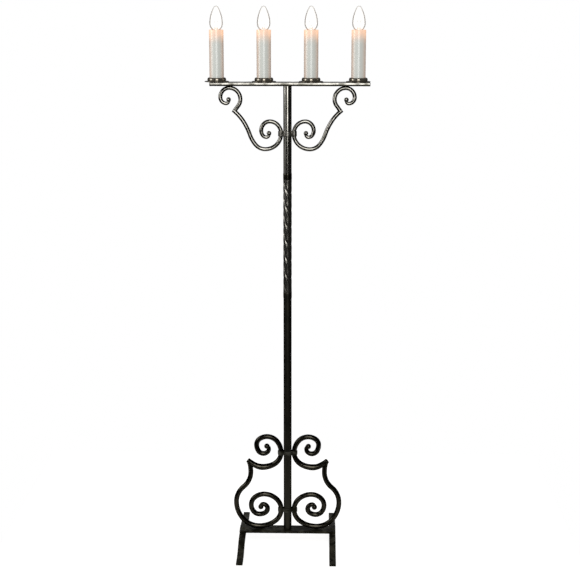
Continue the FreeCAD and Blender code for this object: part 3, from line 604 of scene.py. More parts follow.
def twist_tree():
    """Bar with winding grooves and a flat between each two, all of which fade out at its ends."""
    tree, start = new_tree("Twisted bar", {
        "Radius": "Float", "Length": "Float", "Bottom": "Float", "Grooves": "Float", "Pitch": "Float",
        "Start": "Float", "Land": "Float", "Groove Depth": "Float", "Flat Depth": "Float", "Fade": "Float",
        "Depth": "Float", "Spacing": "Float", "Material": "Material"})
    bar = add_node(tree, "GeometryNodeMeshCylinder", {
        "Vertices": TWIST_SIDES, "Side Segments": TWIST_STEPS, "Radius": start.outputs["Radius"],
        "Depth": start.outputs["Length"]})
    half = add_node(tree, "ShaderNodeMath", {0: start.outputs["Length"], 1: 0.5}, operation="MULTIPLY")
    middle = add_node(tree, "ShaderNodeMath", {0: start.outputs["Bottom"], 1: half}, operation="ADD")
    lift = add_node(tree, "ShaderNodeCombineXYZ", {2: middle})
    raised = add_node(tree, "GeometryNodeTransform", {"Geometry": bar, "Translation": lift})
    place = add_node(tree, "GeometryNodeInputPosition")
    x, y, z = add_node(tree, "ShaderNodeSeparateXYZ", {0: place}).outputs
    angle = add_node(tree, "ShaderNodeMath", {0: y, 1: x}, operation="ARCTAN2")
    climb = add_node(tree, "ShaderNodeMath", {0: z, 1: start.outputs["Pitch"]}, operation="DIVIDE")
    wound = add_node(tree, "ShaderNodeMath", {
        0: climb, 1: 2 * math.pi, 2: angle}, operation="MULTIPLY_ADD")
    phase = add_node(tree, "ShaderNodeMath", {
        0: wound, 1: start.outputs["Grooves"], 2: start.outputs["Start"]}, operation="MULTIPLY_ADD")
    wave = add_node(tree, "ShaderNodeMath", {0: phase}, operation="COSINE")
    groove = add_node(tree, "ShaderNodeMapRange", {
        0: wave, 1: start.outputs["Land"], 2: 1.0, 3: 0.0, 4: -1.0}, interpolation_type="SMOOTHSTEP")
    flat = add_node(tree, "ShaderNodeMapRange", {
        0: wave, 1: -1.0, 2: start.outputs["Land"], 3: -1.0, 4: 0.0})
    height = add_node(tree, "ShaderNodeMath", {0: z, 1: middle}, operation="SUBTRACT")
    away = add_node(tree, "ShaderNodeMath", {0: height}, operation="ABSOLUTE")
    inside = add_node(tree, "ShaderNodeMath", {0: half, 1: start.outputs["Fade"]}, operation="SUBTRACT")
    fade = add_node(tree, "ShaderNodeMapRange", {
        0: away, 1: inside, 2: half, 3: 1.0, 4: 0.0}, interpolation_type="SMOOTHSTEP")
    cut = add_node(tree, "ShaderNodeMath", {
        0: groove, 1: start.outputs["Groove Depth"]}, operation="MULTIPLY")
    deep = add_node(tree, "ShaderNodeMath", {
        0: flat, 1: start.outputs["Flat Depth"], 2: cut}, operation="MULTIPLY_ADD")
    sunk = add_node(tree, "ShaderNodeMath", {0: deep, 1: fade}, operation="MULTIPLY")
    level = add_node(tree, "ShaderNodeCombineXYZ", {0: x, 1: y})
    out = add_node(tree, "ShaderNodeVectorMath", {0: level}, operation="NORMALIZE")
    shift = add_node(tree, "ShaderNodeVectorMath", {0: out, "Scale": sunk}, operation="SCALE")
    twisted = add_node(tree, "GeometryNodeSetPosition", {"Geometry": raised, "Offset": shift})
    return close_hammered(tree, start, twisted)


def thread_tree():
    """Adds a wound screw thread round a lamp cap that is given as a mesh."""
    tree, start = new_tree("Cap thread", {
        "Radius": "Float", "Pitch": "Float", "Turns": "Float", "Wire": "Float", "Place": "Vector",
        "Material": "Material"})
    rise = add_node(tree, "ShaderNodeMath", {
        0: start.outputs["Pitch"], 1: start.outputs["Turns"]}, operation="MULTIPLY")
    coil = add_node(tree, "GeometryNodeCurveSpiral", {
        "Resolution": THREAD_POINTS, "Rotations": start.outputs["Turns"], "Height": rise,
        "Start Radius": start.outputs["Radius"], "End Radius": start.outputs["Radius"]})
    ring = add_node(tree, "GeometryNodeCurvePrimitiveCircle", {
        "Resolution": THREAD_SIDES, "Radius": start.outputs["Wire"]})
    wire = add_node(tree, "GeometryNodeCurveToMesh", {
        "Curve": coil, "Profile Curve": ring, "Fill Caps": True})
    placed = add_node(tree, "GeometryNodeTransform", {
        "Geometry": wire, "Translation": start.outputs["Place"]})
    both = add_node(tree, "GeometryNodeJoinGeometry", {0: start.outputs["Geometry"]})
    tree.links.new(placed.outputs[0], both.inputs[0])
    return close_tree(tree, start, both)


def rivet_tree():
    """A flattened ball on each point, of which the half that shows is a rivet's domed head."""
    tree, start = new_tree("Rivet heads", {"Radius": "Float", "Rise": "Float", "Material": "Material"})
    ball = add_node(tree, "GeometryNodeMeshUVSphere", {
        "Segments": RIVET_SIDES, "Rings": RIVET_RINGS, "Radius": 1.0})
    size = add_node(tree, "ShaderNodeCombineXYZ", {
        0: start.outputs["Radius"], 1: start.outputs["Radius"], 2: start.outputs["Rise"]})
    heads = add_node(tree, "GeometryNodeInstanceOnPoints", {
        "Points": start.outputs["Geometry"], "Instance": ball, "Scale": size})
    return close_tree(tree, start, heads)


TREES = {
    "Hammer marks": hammer_tree,
    "Forged rod": rod_tree,
    "Hammered bar": flat_tree,
    "Twisted bar": twist_tree,
    "Cap thread": thread_tree,
    "Rivet heads": rivet_tree,
}


def node_tree(name):
    """A geometry tree by its name, made on first use."""
    return bpy.data.node_groups.get(name) or TREES[name]()


def made(source, name, tree_name, values):
    """Runs a tree on an object and returns a plain mesh object at the origin in its stead."""
    tree = node_tree(tree_name)
    modifier = source.modifiers.new(tree.name, "NODES")
    modifier.node_group = tree
    for socket in tree.interface.items_tree:
        if socket.in_out == "INPUT" and socket.name in values:
            modifier[socket.identifier] = values[socket.name]
    graph = bpy.context.evaluated_depsgraph_get()
    mesh = bpy.data.meshes.new_from_object(source.evaluated_get(graph), depsgraph=graph)
    bpy.data.objects.remove(source)
    mesh.name = name
    mesh.set_sharp_from_angle(angle=math.radians(FORGED_CREASE))
    piece = bpy.data.objects.new(name, mesh)
    bpy.context.scene.collection.objects.link(piece)
    return piece


def seat(piece, body, slot, *nodes):
    """Puts a piece on its body, in the place of CAD nodes; its finish slot is not used."""
    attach(piece, body)
    if nodes:
        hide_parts(*nodes)


def mesh_object(name, mesh_data):
    """Object from a bmesh, its faces turned outwards and smooth."""
    bmesh.ops.recalc_face_normals(mesh_data, faces=mesh_data.faces)
    mesh = bpy.data.meshes.new(name)
    mesh_data.to_mesh(mesh)
    mesh_data.free()
    for face in mesh.polygons:
        face.use_smooth = True
    mesh.set_sharp_from_angle(angle=math.radians(TURNED_CREASE))
    piece = bpy.data.objects.new(name, mesh)
    bpy.context.scene.collection.objects.link(piece)
    return piece


def curve_object(name, splines):
    """Curve object from lists of (point in metres, radius in metres)."""
    curve = bpy.data.curves.new(name, "CURVE")
    curve.dimensions = "3D"
    for line in splines:
        spline = curve.splines.new("POLY")
        spline.points.add(len(line) - 1)
        for point, (place, radius) in zip(spline.points, line):
            point.co = (*place, 1.0)
            point.radius = radius
    holder = bpy.data.objects.new(name, curve)
    bpy.context.scene.collection.objects.link(holder)
    return holder


def heading(angle):
    """Direction in the XZ plane at an angle in degrees."""
    return Vector((math.cos(math.radians(angle)), 0.0, math.sin(math.radians(angle))))


def arc_points(start, angle, end, step):
    """Points after start on the arc that leaves it at an angle and reaches end, and the angle there."""
    along = heading(angle)
    side = heading(angle + 90)
    chord = end - start
    across = side.dot(chord)
    if abs(across) < 1e-9:
        count = max(1, math.ceil(chord.length / step))
        return [start + chord * (i / count) for i in range(1, count + 1)], angle
    turn = 2 * math.atan2(across, along.dot(chord))
    radius = chord.dot(chord) / (2 * across)
    centre = start + side * radius
    count = max(2, math.ceil(abs(turn * radius) / step))
    swing = math.degrees(turn)
    points = [centre - heading(angle + 90 + swing * i / count) * radius for i in range(1, count + 1)]
    return points, angle + swing


def two_arcs(start, start_angle, end, end_angle, step):
    """Points after start on two tangent arcs between two points with given headings."""
    leave = heading(start_angle)
    arrive = heading(end_angle)
    span = end - start
    both = span.dot(leave + arrive)
    spread = 2 * (1 - leave.dot(arrive))
    if spread < 1e-9:
        reach = span.dot(span) / (2 * both)
    else:
        reach = (math.sqrt(both * both + spread * span.dot(span)) - both) / spread
    joint = (start + leave * reach + end - arrive * reach) * 0.5
    first, angle = arc_points(start, start_angle, joint, step)
    return first + arc_points(joint, angle, end, step)[0]


def route(stations, step):
    """Points along stations (point, heading), and the number of the point at each station."""
    points = [stations[0][0].copy()]
    marks = [0]
    for (start, start_angle), (end, end_angle) in zip(stations, stations[1:]):
        points += two_arcs(start, start_angle, end, end_angle, step)
        marks.append(len(points) - 1)
    return points, marks


def drawn_end(points, taper_end, sizes):
    """(Point, radius) pairs from a ball at the first point, thickening to the full rod at taper_end."""
    ball = sizes["ball"] / 2
    tip = sizes["tip"] / 2
    full = sizes["rod"] / 2
    far = [0.0]
    for a, b in zip(points, points[1:]):
        far.append(far[-1] + (b - a).length)
    back = (points[0] - points[1]).normalized()
    line = []
    for i in range(1, BALL_STEPS):
        swing = math.radians(90 * i / BALL_STEPS)
        line.append((points[0] + back * ball * math.cos(swing), ball * math.sin(swing)))
    for point, distance in zip(points, far):
        rod = tip + (full - tip) * min(1.0, distance / far[taper_end])
        round_end = math.sqrt(max(0.0, ball * ball - distance * distance))
        line.append((point, max(rod, round_end)))
    return line


def swell_arm(line, marks, sizes):
    """Thickens (point, radius) pairs evenly from the first mark to the second, and back by the third."""
    start, widest, end = marks
    for i in range(start, end + 1):
        share = (i - start) / (widest - start) if i < widest else (end - i) / (end - widest)
        point, radius = line[i]
        line[i] = (point, radius + (sizes["arm"] - sizes["rod"]) / 2 * share)


def scroll_lines(sizes, base, side):
    """The two rods of a scroll, in metres: from the inner ball past the kink, and on to the outer ball."""
    inner, outer = (
        [(Vector((POST_RADIUS + out, 0.0, base + up)), angle) for out, up, angle in sizes[part]]
        for part in ("inner", "outer"))
    points, marks = route(inner, ROD_STEP)
    first = drawn_end(points, marks[TAPER_STATIONS - 1], sizes)
    swell_arm(first, [mark + len(first) - len(points) for mark in marks[-ARM_STATIONS:]], sizes)
    kink, angle = inner[-1]
    radius = sizes["rod"] / 2
    for reach, inset in ((0.5, 0.0), (1 - CUT_BEVEL / sizes["kink_end"], 0.0), (1.0, CUT_BEVEL)):
        first.append((kink + heading(angle) * sizes["kink_end"] * reach, radius - inset))
    points, marks = route(outer, ROD_STEP)
    points.reverse()
    second = drawn_end(points, len(points) - 1 - marks[-TAPER_STATIONS], sizes)
    flip = Vector((side, 1.0, 1.0))
    return [[(point * flip * MM, size * MM) for point, size in line] for line in (first, second)]


def turned(name, profile, segments, x):
    """Body turned about a vertical axis at x from a closed profile of (radius, height) in metres."""
    shape = bmesh.new()
    turns = [2 * math.pi * i / segments for i in range(segments)]
    rings = []
    for radius, height in profile:
        if radius < 1e-7:
            rings.append([shape.verts.new((x, 0.0, height))])
            continue
        places = [(x + radius * math.cos(a), radius * math.sin(a), height) for a in turns]
        rings.append([shape.verts.new(place) for place in places])
    for low, high in zip(rings, rings[1:] + rings[:1]):
        if len(low) == 1 and len(high) == 1:
            continue
        for i in range(segments):
            j = (i + 1) % segments
            corners = [low[i % len(low)], low[j % len(low)], high[j % len(high)], high[i % len(high)]]
            shape.faces.new(list(dict.fromkeys(corners)))
    return mesh_object(name, shape)


def rounded_ring(width, height, corner, step):
    """Points (across, up) round a rectangle with rounded corners, no further apart than step."""
    points = []
    for quarter in range(4):
        flip_x = (1, -1, -1, 1)[quarter]
        flip_z = (1, 1, -1, -1)[quarter]
        cx = flip_x * (width / 2 - corner)
        cz = flip_z * (height / 2 - corner)
        for i in range(CORNER_STEPS + 1):
            turn = math.radians(90 * quarter + 90 / CORNER_STEPS * i)
            points.append((cx + corner * math.cos(turn), cz + corner * math.sin(turn)))
        length = (width if quarter % 2 == 0 else height) - 2 * corner
        count = max(1, math.ceil(length / step))
        last = points[-1]
        way = ((-1, 0), (0, -1), (1, 0), (0, 1))[quarter]
        for i in range(1, count):
            points.append((last[0] + way[0] * length * i / count, last[1] + way[1] * length * i / count))
    return points


def swept(name, path, ring, closed):
    """Ring of (across, up) in millimetres, swept upright along a path; an open path gets bevelled ends."""
    count = len(path)
    sections = []
    for i, point in enumerate(path):
        before = path[i - 1] if closed or i else point
        after = path[(i + 1) % count] if closed or i < count - 1 else point
        along = (after - before).normalized()
        across = along.cross(Vector((0.0, 0.0, 1.0))).normalized()
        sections.append((point, across, across.cross(along), 0.0))
    if not closed:
        for end, neighbour in ((0, 1), (-1, -2)):
            point, across, up, _ = sections[end]
            back = (path[neighbour] - path[end]).normalized() * CUT_BEVEL
            sections[end] = (point + back, across, up, 0.0)
            tip = (point, across, up, CUT_BEVEL)
            sections.insert(0 if end == 0 else len(sections), tip)
    wide = max(p[0] for p in ring)
    tall = max(p[1] for p in ring)
    shape = bmesh.new()
    rows = []
    for point, across, up, inset in sections:
        places = [point + across * a * (1 - inset / wide) + up * b * (1 - inset / tall) for a, b in ring]
        rows.append([shape.verts.new(place * MM) for place in places])
    pairs = list(zip(rows, rows[1:]))
    if closed:
        pairs.append((rows[-1], rows[0]))
    else:
        shape.faces.new(rows[0])
        shape.faces.new(rows[-1])
    for low, high in pairs:
        for i in range(len(ring)):
            j = (i + 1) % len(ring)
            shape.faces.new((low[i], low[j], high[j], high[i]))
    return mesh_object(name, shape)


def straight(start, end, step):
    """Points from start to end, about a step apart."""
    count = max(1, round((end - start).length / step))
    return [start + (end - start) * (i / count) for i in range(count + 1)]


def millimetres(node):
    """Lowest and highest corner of a CAD node, in millimetres."""
    low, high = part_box(node)
    return low / MM, high / MM


def candle_x(number):
    """Where a candle stands along the bar, in metres."""
    low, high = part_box(f"candle_sleeve_{number}")
    return (low.x + high.x) / 2


def iron_finish(settings, place):
    """The iron of one place, made once; the candle bar gets painted shade, dark below about its middle and
    its own colour above.
    """
    name, hollows, high_spots, metallic, roughness = IRON_FINISHES[place]
    if name in bpy.data.materials:
        return bpy.data.materials[name]
    painted_shade_args = {}
    if place == "bar":
        low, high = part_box("candle_bar")
        painted_shade_args = {
            "rim": BAR_RIM, "black": settings.base_shaded_oxide,
            "painted_shade_top": (low.z + high.z) / 2 + PAINTED_SHADE_WANDER / 2 * MM}
    return wrought_iron(
        name, getattr(settings, hollows), getattr(settings, high_spots), metallic, roughness, **painted_shade_args)


def forge(iron, name, source, tree_name, place, kind, values=None):
    """Hammers a blank in the iron of a place, and seats it on the stand in place of its CAD node."""
    depth, spacing = MARKS[kind]
    inputs = {
        "Depth": iron.hammer_depth * depth, "Spacing": iron.hammer_spacing * spacing,
        "Material": iron_finish(iron, place), **(values or {})}
    piece = made(source, "forged_" + name, tree_name, inputs)
    seat(piece, "stand", "wrought_iron", name)


class CANDELABRUM_OT_scrolls(bpy.types.Operator):
    """Forge the scrolls under the bar and the lyre scrolls of the base"""
    bl_idname = "candelabrum.scrolls"
    bl_label = "Scrolls"

    def execute(self, context):
        iron = context.scene.candelabrum_iron
        bar_bottom = millimetres("candle_bar")[0].z
        crossbar_top = millimetres("base_crossbar")[1].z
        for kind, sizes, base, place in (
                ("bracket_scroll", BRACKET, bar_bottom, "head"),
                ("base_scroll", LYRE, crossbar_top, "stand")):
            for label, side in (("left", -1.0), ("right", 1.0)):
                name = f"{kind}_{label}"
                source = curve_object(name + "_route", scroll_lines(sizes, base, side))
                forge(iron, name, source, "Forged rod", place, "rod", {"Sides": ROD_SIDES})
        return {"FINISHED"}


class CANDELABRUM_OT_post(bpy.types.Operator):
    """Forge the post: two tubes, two ferrules and the twisted bar between them"""
    bl_idname = "candelabrum.post"
    bl_label = "Post"

    def execute(self, context):
        iron = context.scene.candelabrum_iron
        for name, place in (("post_lower_tube", "tube"), ("post_upper_tube", "head")):
            low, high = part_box(name)
            line = straight(Vector((0, 0, low.z)), Vector((0, 0, high.z)), TUBE_STEP * MM)
            source = curve_object(name + "_route", [[(point, high.x) for point in line]])
            forge(iron, name, source, "Forged rod", place, "tube", {"Sides": TUBE_SIDES})
        for name, place in (("post_lower_ferrule", "tube"), ("post_upper_ferrule", "stand")):
            low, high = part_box(name)
            bore = (POST_RADIUS - FERRULE_BITE) * MM
            crown = bore + FERRULE_WALL * MM
            edge = FERRULE_WALL / 2 * MM
            length = high.z - low.z - 2 * edge
            steps = [low.z + edge + length * i / FERRULE_STEPS for i in range(FERRULE_STEPS + 1)]
            profile = [(bore, low.z), (crown - edge, low.z)] + [(crown, z) for z in steps]
            profile += [(crown - edge, high.z), (bore, high.z)]
            source = turned(name + "_ring", profile, FERRULE_SIDES, 0.0)
            forge(iron, name, source, "Hammered bar", place, "ferrule")
        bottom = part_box("post_lower_tube")[1].z
        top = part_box("post_upper_tube")[0].z
        source = mesh_object("twist_seed", bmesh.new())
        forge(iron, "post_twisted_bar", source, "Twisted bar", "twist", "twist", {
            "Radius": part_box("post_twisted_bar")[1].x, "Length": top - bottom, "Bottom": bottom,
            "Grooves": float(TWIST_GROOVES), "Pitch": TWIST_PITCH * MM, "Start": math.radians(TWIST_START),
            "Land": TWIST_LAND, "Groove Depth": TWIST_DEPTH * MM, "Flat Depth": TWIST_FLAT * MM,
            "Fade": TWIST_FADE * MM})
        return {"FINISHED"}


class CANDELABRUM_OT_flat_bars(bpy.types.Operator):
    """Forge the candle bar, the crossbar, the arched feet, their rivets and the collars"""
    bl_idname = "candelabrum.flat_bars"
    bl_label = "Flat bars"

    def execute(self, context):
        iron = context.scene.candelabrum_iron
        for name, corner, place in (
                ("candle_bar", BAR_CORNER, "bar"), ("base_crossbar", FLAT_CORNER, "foot")):
            low, high = millimetres(name)
            level = (low.z + high.z) / 2
            path = straight(Vector((low.x, 0, level)), Vector((high.x, 0, level)), BAR_STEP)
            ring = rounded_ring(high.y - low.y, high.z - low.z, corner, BAR_STEP)
            source = swept(name + "_blank", path, ring, False)
            forge(iron, name, source, "Hammered bar", place, "bar")
        for name in ("foot_left", "foot_right"):
            self.forge_foot(iron, name)
        for name, sizes, place in (
                ("bracket_collar", BRACKET, "clasp"), ("base_collar_lower", LYRE, "collar"),
                ("base_collar_upper", LYRE, "collar")):
            self.forge_collar(iron, name, sizes["rod"], place)
        self.forge_rivets(iron)
        return {"FINISHED"}

    def forge_foot(self, iron, name):
        """Arched flat bar with a level pad at each end and a level seat under the crossbar."""
        low, high = millimetres(name)
        seat_end = millimetres("base_crossbar")[1].y + FOOT_SEAT
        x = (low.x + high.x) / 2
        floor = low.z + FOOT_THICKNESS / 2
        top = high.z - FOOT_THICKNESS / 2
        stations = [
            (low.y, floor), (low.y + FOOT_PAD, floor), (-seat_end, top),
            (seat_end, top), (high.y - FOOT_PAD, floor), (high.y, floor)]
        points = route([(Vector((y, 0, z)), 0) for y, z in stations], BAR_STEP)[0]
        path = [Vector((x, point.x, point.z)) for point in points]
        ring = rounded_ring(high.x - low.x, FOOT_THICKNESS, FLAT_CORNER, BAR_STEP)
        source = swept(name + "_blank", path, ring, False)
        forge(iron, name, source, "Hammered bar", "foot", "foot")

    def forge_collar(self, iron, name, rod, iron_place):
        """Strap beaten tight round the post and both rods, and into the hollows between them."""
        low, high = millimetres(name)
        room = high.y - POST_RADIUS
        strap = room - STRAP_GAP
        place = high.x - rod / 2 - room
        big = POST_RADIUS + room - strap / 2
        small = rod / 2 + room - strap / 2
        hollow = STRAP_HOLLOW + strap / 2
        hollow_x = ((big + hollow) ** 2 - (small + hollow) ** 2 + place ** 2) / (2 * place)
        hollow_y = math.sqrt((big + hollow) ** 2 - hollow_x ** 2)
        post_turn = math.atan2(hollow_y, hollow_x)
        rod_turn = math.atan2(hollow_y, hollow_x - place)
        arcs = (
            (place, 0.0, small, -rod_turn, rod_turn),
            (hollow_x, hollow_y, hollow, math.pi + rod_turn, math.pi + post_turn),
            (0.0, 0.0, big, post_turn, math.pi - post_turn),
            (-hollow_x, hollow_y, hollow, -post_turn, -rod_turn),
        )
        level = (low.z + high.z) / 2
        path = []
        for side, half in ((1, 0.0), (-1, math.pi)):
            for x, y, radius, first, last in arcs:
                count = max(3, round(radius * abs(last - first) / STRAP_STEP))
                for i in range(count):
                    turn = half + first + (last - first) * i / count
                    path.append(Vector((side * x + radius * math.cos(turn),
                                        side * y + radius * math.sin(turn), level)))
        ring = rounded_ring(strap, high.z - low.z, STRAP_CORNER, STRAP_RING_STEP)
        source = swept(name + "_blank", path, ring, True)
        forge(iron, name, source, "Hammered bar", iron_place, "strap")

    def forge_rivets(self, iron):
        """Domed heads above the crossbar and under the feet."""
        low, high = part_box("foot_rivets")
        x = high.x - RIVET_HEAD / 2 * MM
        shape = bmesh.new()
        for side in (-x, x):
            for level in (low.z + RIVET_DOME * MM, high.z - RIVET_DOME * MM):
                shape.verts.new((side, 0.0, level))
        source = mesh_object("rivet_points", shape)
        forge(iron, "foot_rivets", source, "Rivet heads", "foot", "foot", {
            "Radius": RIVET_HEAD / 2 * MM, "Rise": RIVET_DOME * MM})


class CANDELABRUM_OT_drip_pans(bpy.types.Operator):
    """Spin the drip pans that carry the candles"""
    bl_idname = "candelabrum.drip_pans"
    bl_label = "Drip pans"

    def execute(self, context):
        finish = stove_enamel("Bronzed stove enamel", context.scene.candelabrum_candles.pan)
        for number in CANDLES:
            name = f"drip_pan_{number}"
            low, high = millimetres(name)
            foot = (high.x - low.x) / 2
            rim = foot - PAN_FLANGE
            recess = rim - PAN_WALL
            edge = PAN_EDGE / 2
            widest = low.z + PAN_EDGE + PAN_SLOPE + PAN_WIDEST
            profile = [(PAN_BORE, low.z)]
            for i in range(PAN_EDGE_STEPS + 1):
                turn = math.radians(-90 + 180 * i / PAN_EDGE_STEPS)
                profile.append((foot - edge + edge * math.cos(turn), low.z + edge + edge * math.sin(turn)))
            # The ring bulges most a little above the flange
            for i in range(PAN_RING_STEPS + 1):
                turn = math.radians(-90 + 180 * i / PAN_RING_STEPS)
                depth = PAN_COVE if turn < 0 else PAN_CROWN
                rise = PAN_WIDEST if turn < 0 else high.z - widest
                profile.append((rim + depth * (math.cos(turn) - 1), widest + rise * math.sin(turn)))
            profile += [(recess + PAN_LIP, high.z), (recess, high.z - PAN_LIP)]
            profile += [(recess, low.z + PAN_FLOOR), (PAN_BORE, low.z + PAN_FLOOR)]
            profile = [(radius * MM, height * MM) for radius, height in profile]
            piece = turned("turned_" + name, profile, TURNED_SIDES, candle_x(number))
            piece.data.materials.append(finish)
            seat(piece, "stand", "pan_enamel", name)
        return {"FINISHED"}


class CANDELABRUM_OT_sleeves(bpy.types.Operator):
    """Draw the candle sleeves, with the lamps' warmth painted at the top"""
    bl_idname = "candelabrum.sleeves"
    bl_label = "Candle sleeves"

    def execute(self, context):
        settings = context.scene.candelabrum_candles
        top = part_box("candle_sleeve_1")[1].z
        finish = glowing_sleeve("Ivory drawn plastic", settings, top)
        for number in CANDLES:
            name = f"candle_sleeve_{number}"
            low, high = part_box(name)
            outer = (high.x - low.x) / 2
            inner = outer - SLEEVE_WALL * MM
            lip = SLEEVE_LIP * MM
            shoulder = high.z - lip
            wall = [low.z + (shoulder - low.z) * i / SLEEVE_STEPS for i in range(SLEEVE_STEPS + 1)]
            profile = [(outer, z) for z in wall]
            for i in range(1, SLEEVE_LIP_STEPS):
                turn = math.radians(180 * i / SLEEVE_LIP_STEPS)
                radius = (outer + inner) / 2 + (outer - inner) / 2 * math.cos(turn)
                profile.append((radius, shoulder + lip * math.sin(turn)))
            profile += [(inner, z) for z in reversed(wall)]
            piece = turned("drawn_" + name, profile, TURNED_SIDES, candle_x(number))
            piece.data.materials.append(finish)
            seat(piece, f"sleeve_{number}", "sleeve_ivory", name)
        return {"FINISHED"}


class CANDELABRUM_OT_lamps(bpy.types.Operator):
    """Blow the lamps, thread their caps and wind their filaments"""
    bl_idname = "candelabrum.lamps"
    bl_label = "Lamps"

    def execute(self, context):
        settings = context.scene.candelabrum_candles
        glass = blown_glass("Clear blown glass", settings.glass_painted_edge_shade, GLASS_PAINTED_GLOW)
        nickel = plain_finish("Nickel plated brass")
        tungsten = lit_tungsten("Lit tungsten", settings.filament_strength)
        wire = plain_finish("Drawn nickel wire")
        for number in CANDLES:
            self.blow_glass(number, glass)
            self.thread_cap(number, nickel)
            self.wind_filament(number, tungsten, wire)
        return {"FINISHED"}

    def glass_line(self, bottom, top, inset):
        """Half outline of the glass from its neck to its tip, drawn in by an inset, in millimetres."""
        tip = GLASS_TIP - inset
        throat = Vector((GLASS_NECK - inset, 0, bottom + GLASS_THROAT))
        widest = Vector((GLASS_BELLY - inset, 0, bottom + GLASS_WIDEST))
        tip_centre = Vector((0, 0, top - GLASS_TIP))
        shoulder = tip_centre + heading(GLASS_SHOULDER) * tip
        line = [Vector((GLASS_NECK - inset, 0, bottom)), throat]
        line += two_arcs(throat, 90, widest, 90, GLASS_STEP)
        line += two_arcs(widest, 90, shoulder, 90 + GLASS_SHOULDER, GLASS_STEP)
        turn = (90 - GLASS_SHOULDER) / GLASS_TIP_STEPS
        line += [tip_centre + heading(GLASS_SHOULDER + turn * i) * tip for i in range(1, GLASS_TIP_STEPS)]
        return [(p.x, p.z) for p in line] + [(0.0, tip_centre.z + tip)]

    def blow_glass(self, number, finish):
        """Thin envelope of one lamp, from its neck in the cap to its tip."""
        low, high = millimetres(f"lamp_glass_{number}")
        outside = self.glass_line(low.z, high.z, 0.0)
        inside = self.glass_line(low.z, high.z, GLASS_WALL)
        profile = [(r * MM, z * MM) for r, z in outside + inside[::-1]]
        piece = turned(f"blown_lamp_glass_{number}", profile, TURNED_SIDES, candle_x(number))
        piece.data.materials.append(finish)
        seat(piece, f"lamp_{number}", "lamp_glass", f"lamp_glass_{number}")

    def thread_cap(self, number, finish):
        """Screw cap of one lamp, with its contact below and its thread wound on."""
        low, high = millimetres(f"lamp_cap_{number}")
        profile = [(radius * MM, (low.z + rise) * MM) for radius, rise in CAP_FOOT]
        profile += [(radius * MM, (high.z - depth) * MM) for radius, depth in CAP_HEAD]
        source = turned(f"lamp_cap_{number}_body", profile, CAP_SIDES, candle_x(number))
        values = {
            "Radius": CAP_ROOT * MM, "Pitch": THREAD_PITCH * MM, "Turns": THREAD_TURNS,
            "Wire": THREAD_WIRE * MM, "Material": finish,
            "Place": (candle_x(number), 0.0, (low.z + THREAD_START) * MM)}
        piece = made(source, f"threaded_lamp_cap_{number}", "Cap thread", values)
        seat(piece, f"lamp_{number}", "cap_nickel", f"lamp_cap_{number}")

    def wind_filament(self, number, finish, support_finish):
        """Fine coil bent into an arch, on two wires that rise from the stem."""
        low, high = millimetres(f"lamp_filament_{number}")
        x = candle_x(number) / MM
        half = (high.x - low.x) / 2 - COIL_RADIUS
        foot = high.z - COIL_DROP
        span = Vector((half, 0, COIL_ARCH))
        radius = span.dot(span) / (2 * COIL_ARCH)
        centre = Vector((x, 0, foot + COIL_ARCH - radius))
        reach = math.asin(half / radius)
        coil = []
        steps = COIL_TURNS * COIL_POINTS
        for i in range(steps + 1):
            swing = reach * (2 * i / steps - 1)
            out = Vector((math.sin(swing), 0, math.cos(swing)))
            turn = 2 * math.pi * COIL_TURNS * i / steps
            offset = out * math.cos(turn) + Vector((0, 1, 0)) * math.sin(turn)
            coil.append(((centre + out * radius + offset * COIL_RADIUS) * MM, COIL_WIRE * MM))
        legs = []
        for side in (-1, 1):
            root = Vector((x + side * SUPPORT_ROOT, 0, low.z))
            bend = Vector((x + side * SUPPORT_BEND, 0, low.z + SUPPORT_RISE))
            end = Vector((x + side * half, 0, foot))
            line = straight(root, bend, SUPPORT_BEND_STEP) + straight(bend, end, SUPPORT_STEP)[1:]
            legs.append([(point * MM, SUPPORT_WIRE * MM) for point in line])
        coil_name = f"wound_lamp_filament_{number}"
        self.draw_wire(number, coil_name, [coil], COIL_SIDES, finish, f"lamp_filament_{number}")
        self.draw_wire(number, f"drawn_lamp_support_{number}", legs, SUPPORT_SIDES, support_finish)

    def draw_wire(self, number, name, lines, sides, finish, *nodes):
        """Plain round wire along lines, on one lamp, in the place of CAD nodes if any are given."""
        values = {"Sides": sides, "Depth": 0.0, "Spacing": MM, "Material": finish}
        piece = made(curve_object(name + "_route", lines), name, "Forged rod", values)
        seat(piece, f"lamp_{number}", "filament_wire", *nodes)


class CANDELABRUM_OT_fittings(bpy.types.Operator):
    """Finish the lampholders, stems, pipes, nuts, wiring and bush that keep their CAD shape"""
    bl_idname = "candelabrum.fittings"
    bl_label = "Fittings"

    def execute(self, context):
        settings = context.scene.candelabrum_candles
        stem = blown_glass("Pressed stem glass", settings.glass_painted_edge_shade, STEM_PAINTED_GLOW)
        finishes = {name: plain_finish(finish) for name, finish in FITTINGS.items()}
        finishes["bar_end_plugs"] = iron_finish(context.scene.candelabrum_iron, "head")
        for number in CANDLES:
            finishes[f"lampholder_{number}"] = plain_finish("Moulded phenolic")
            finishes[f"lamp_stem_{number}"] = stem
        for name, finish in finishes.items():
            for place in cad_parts[name].material_slots:
                place.material = finish
        return {"FINISHED"}


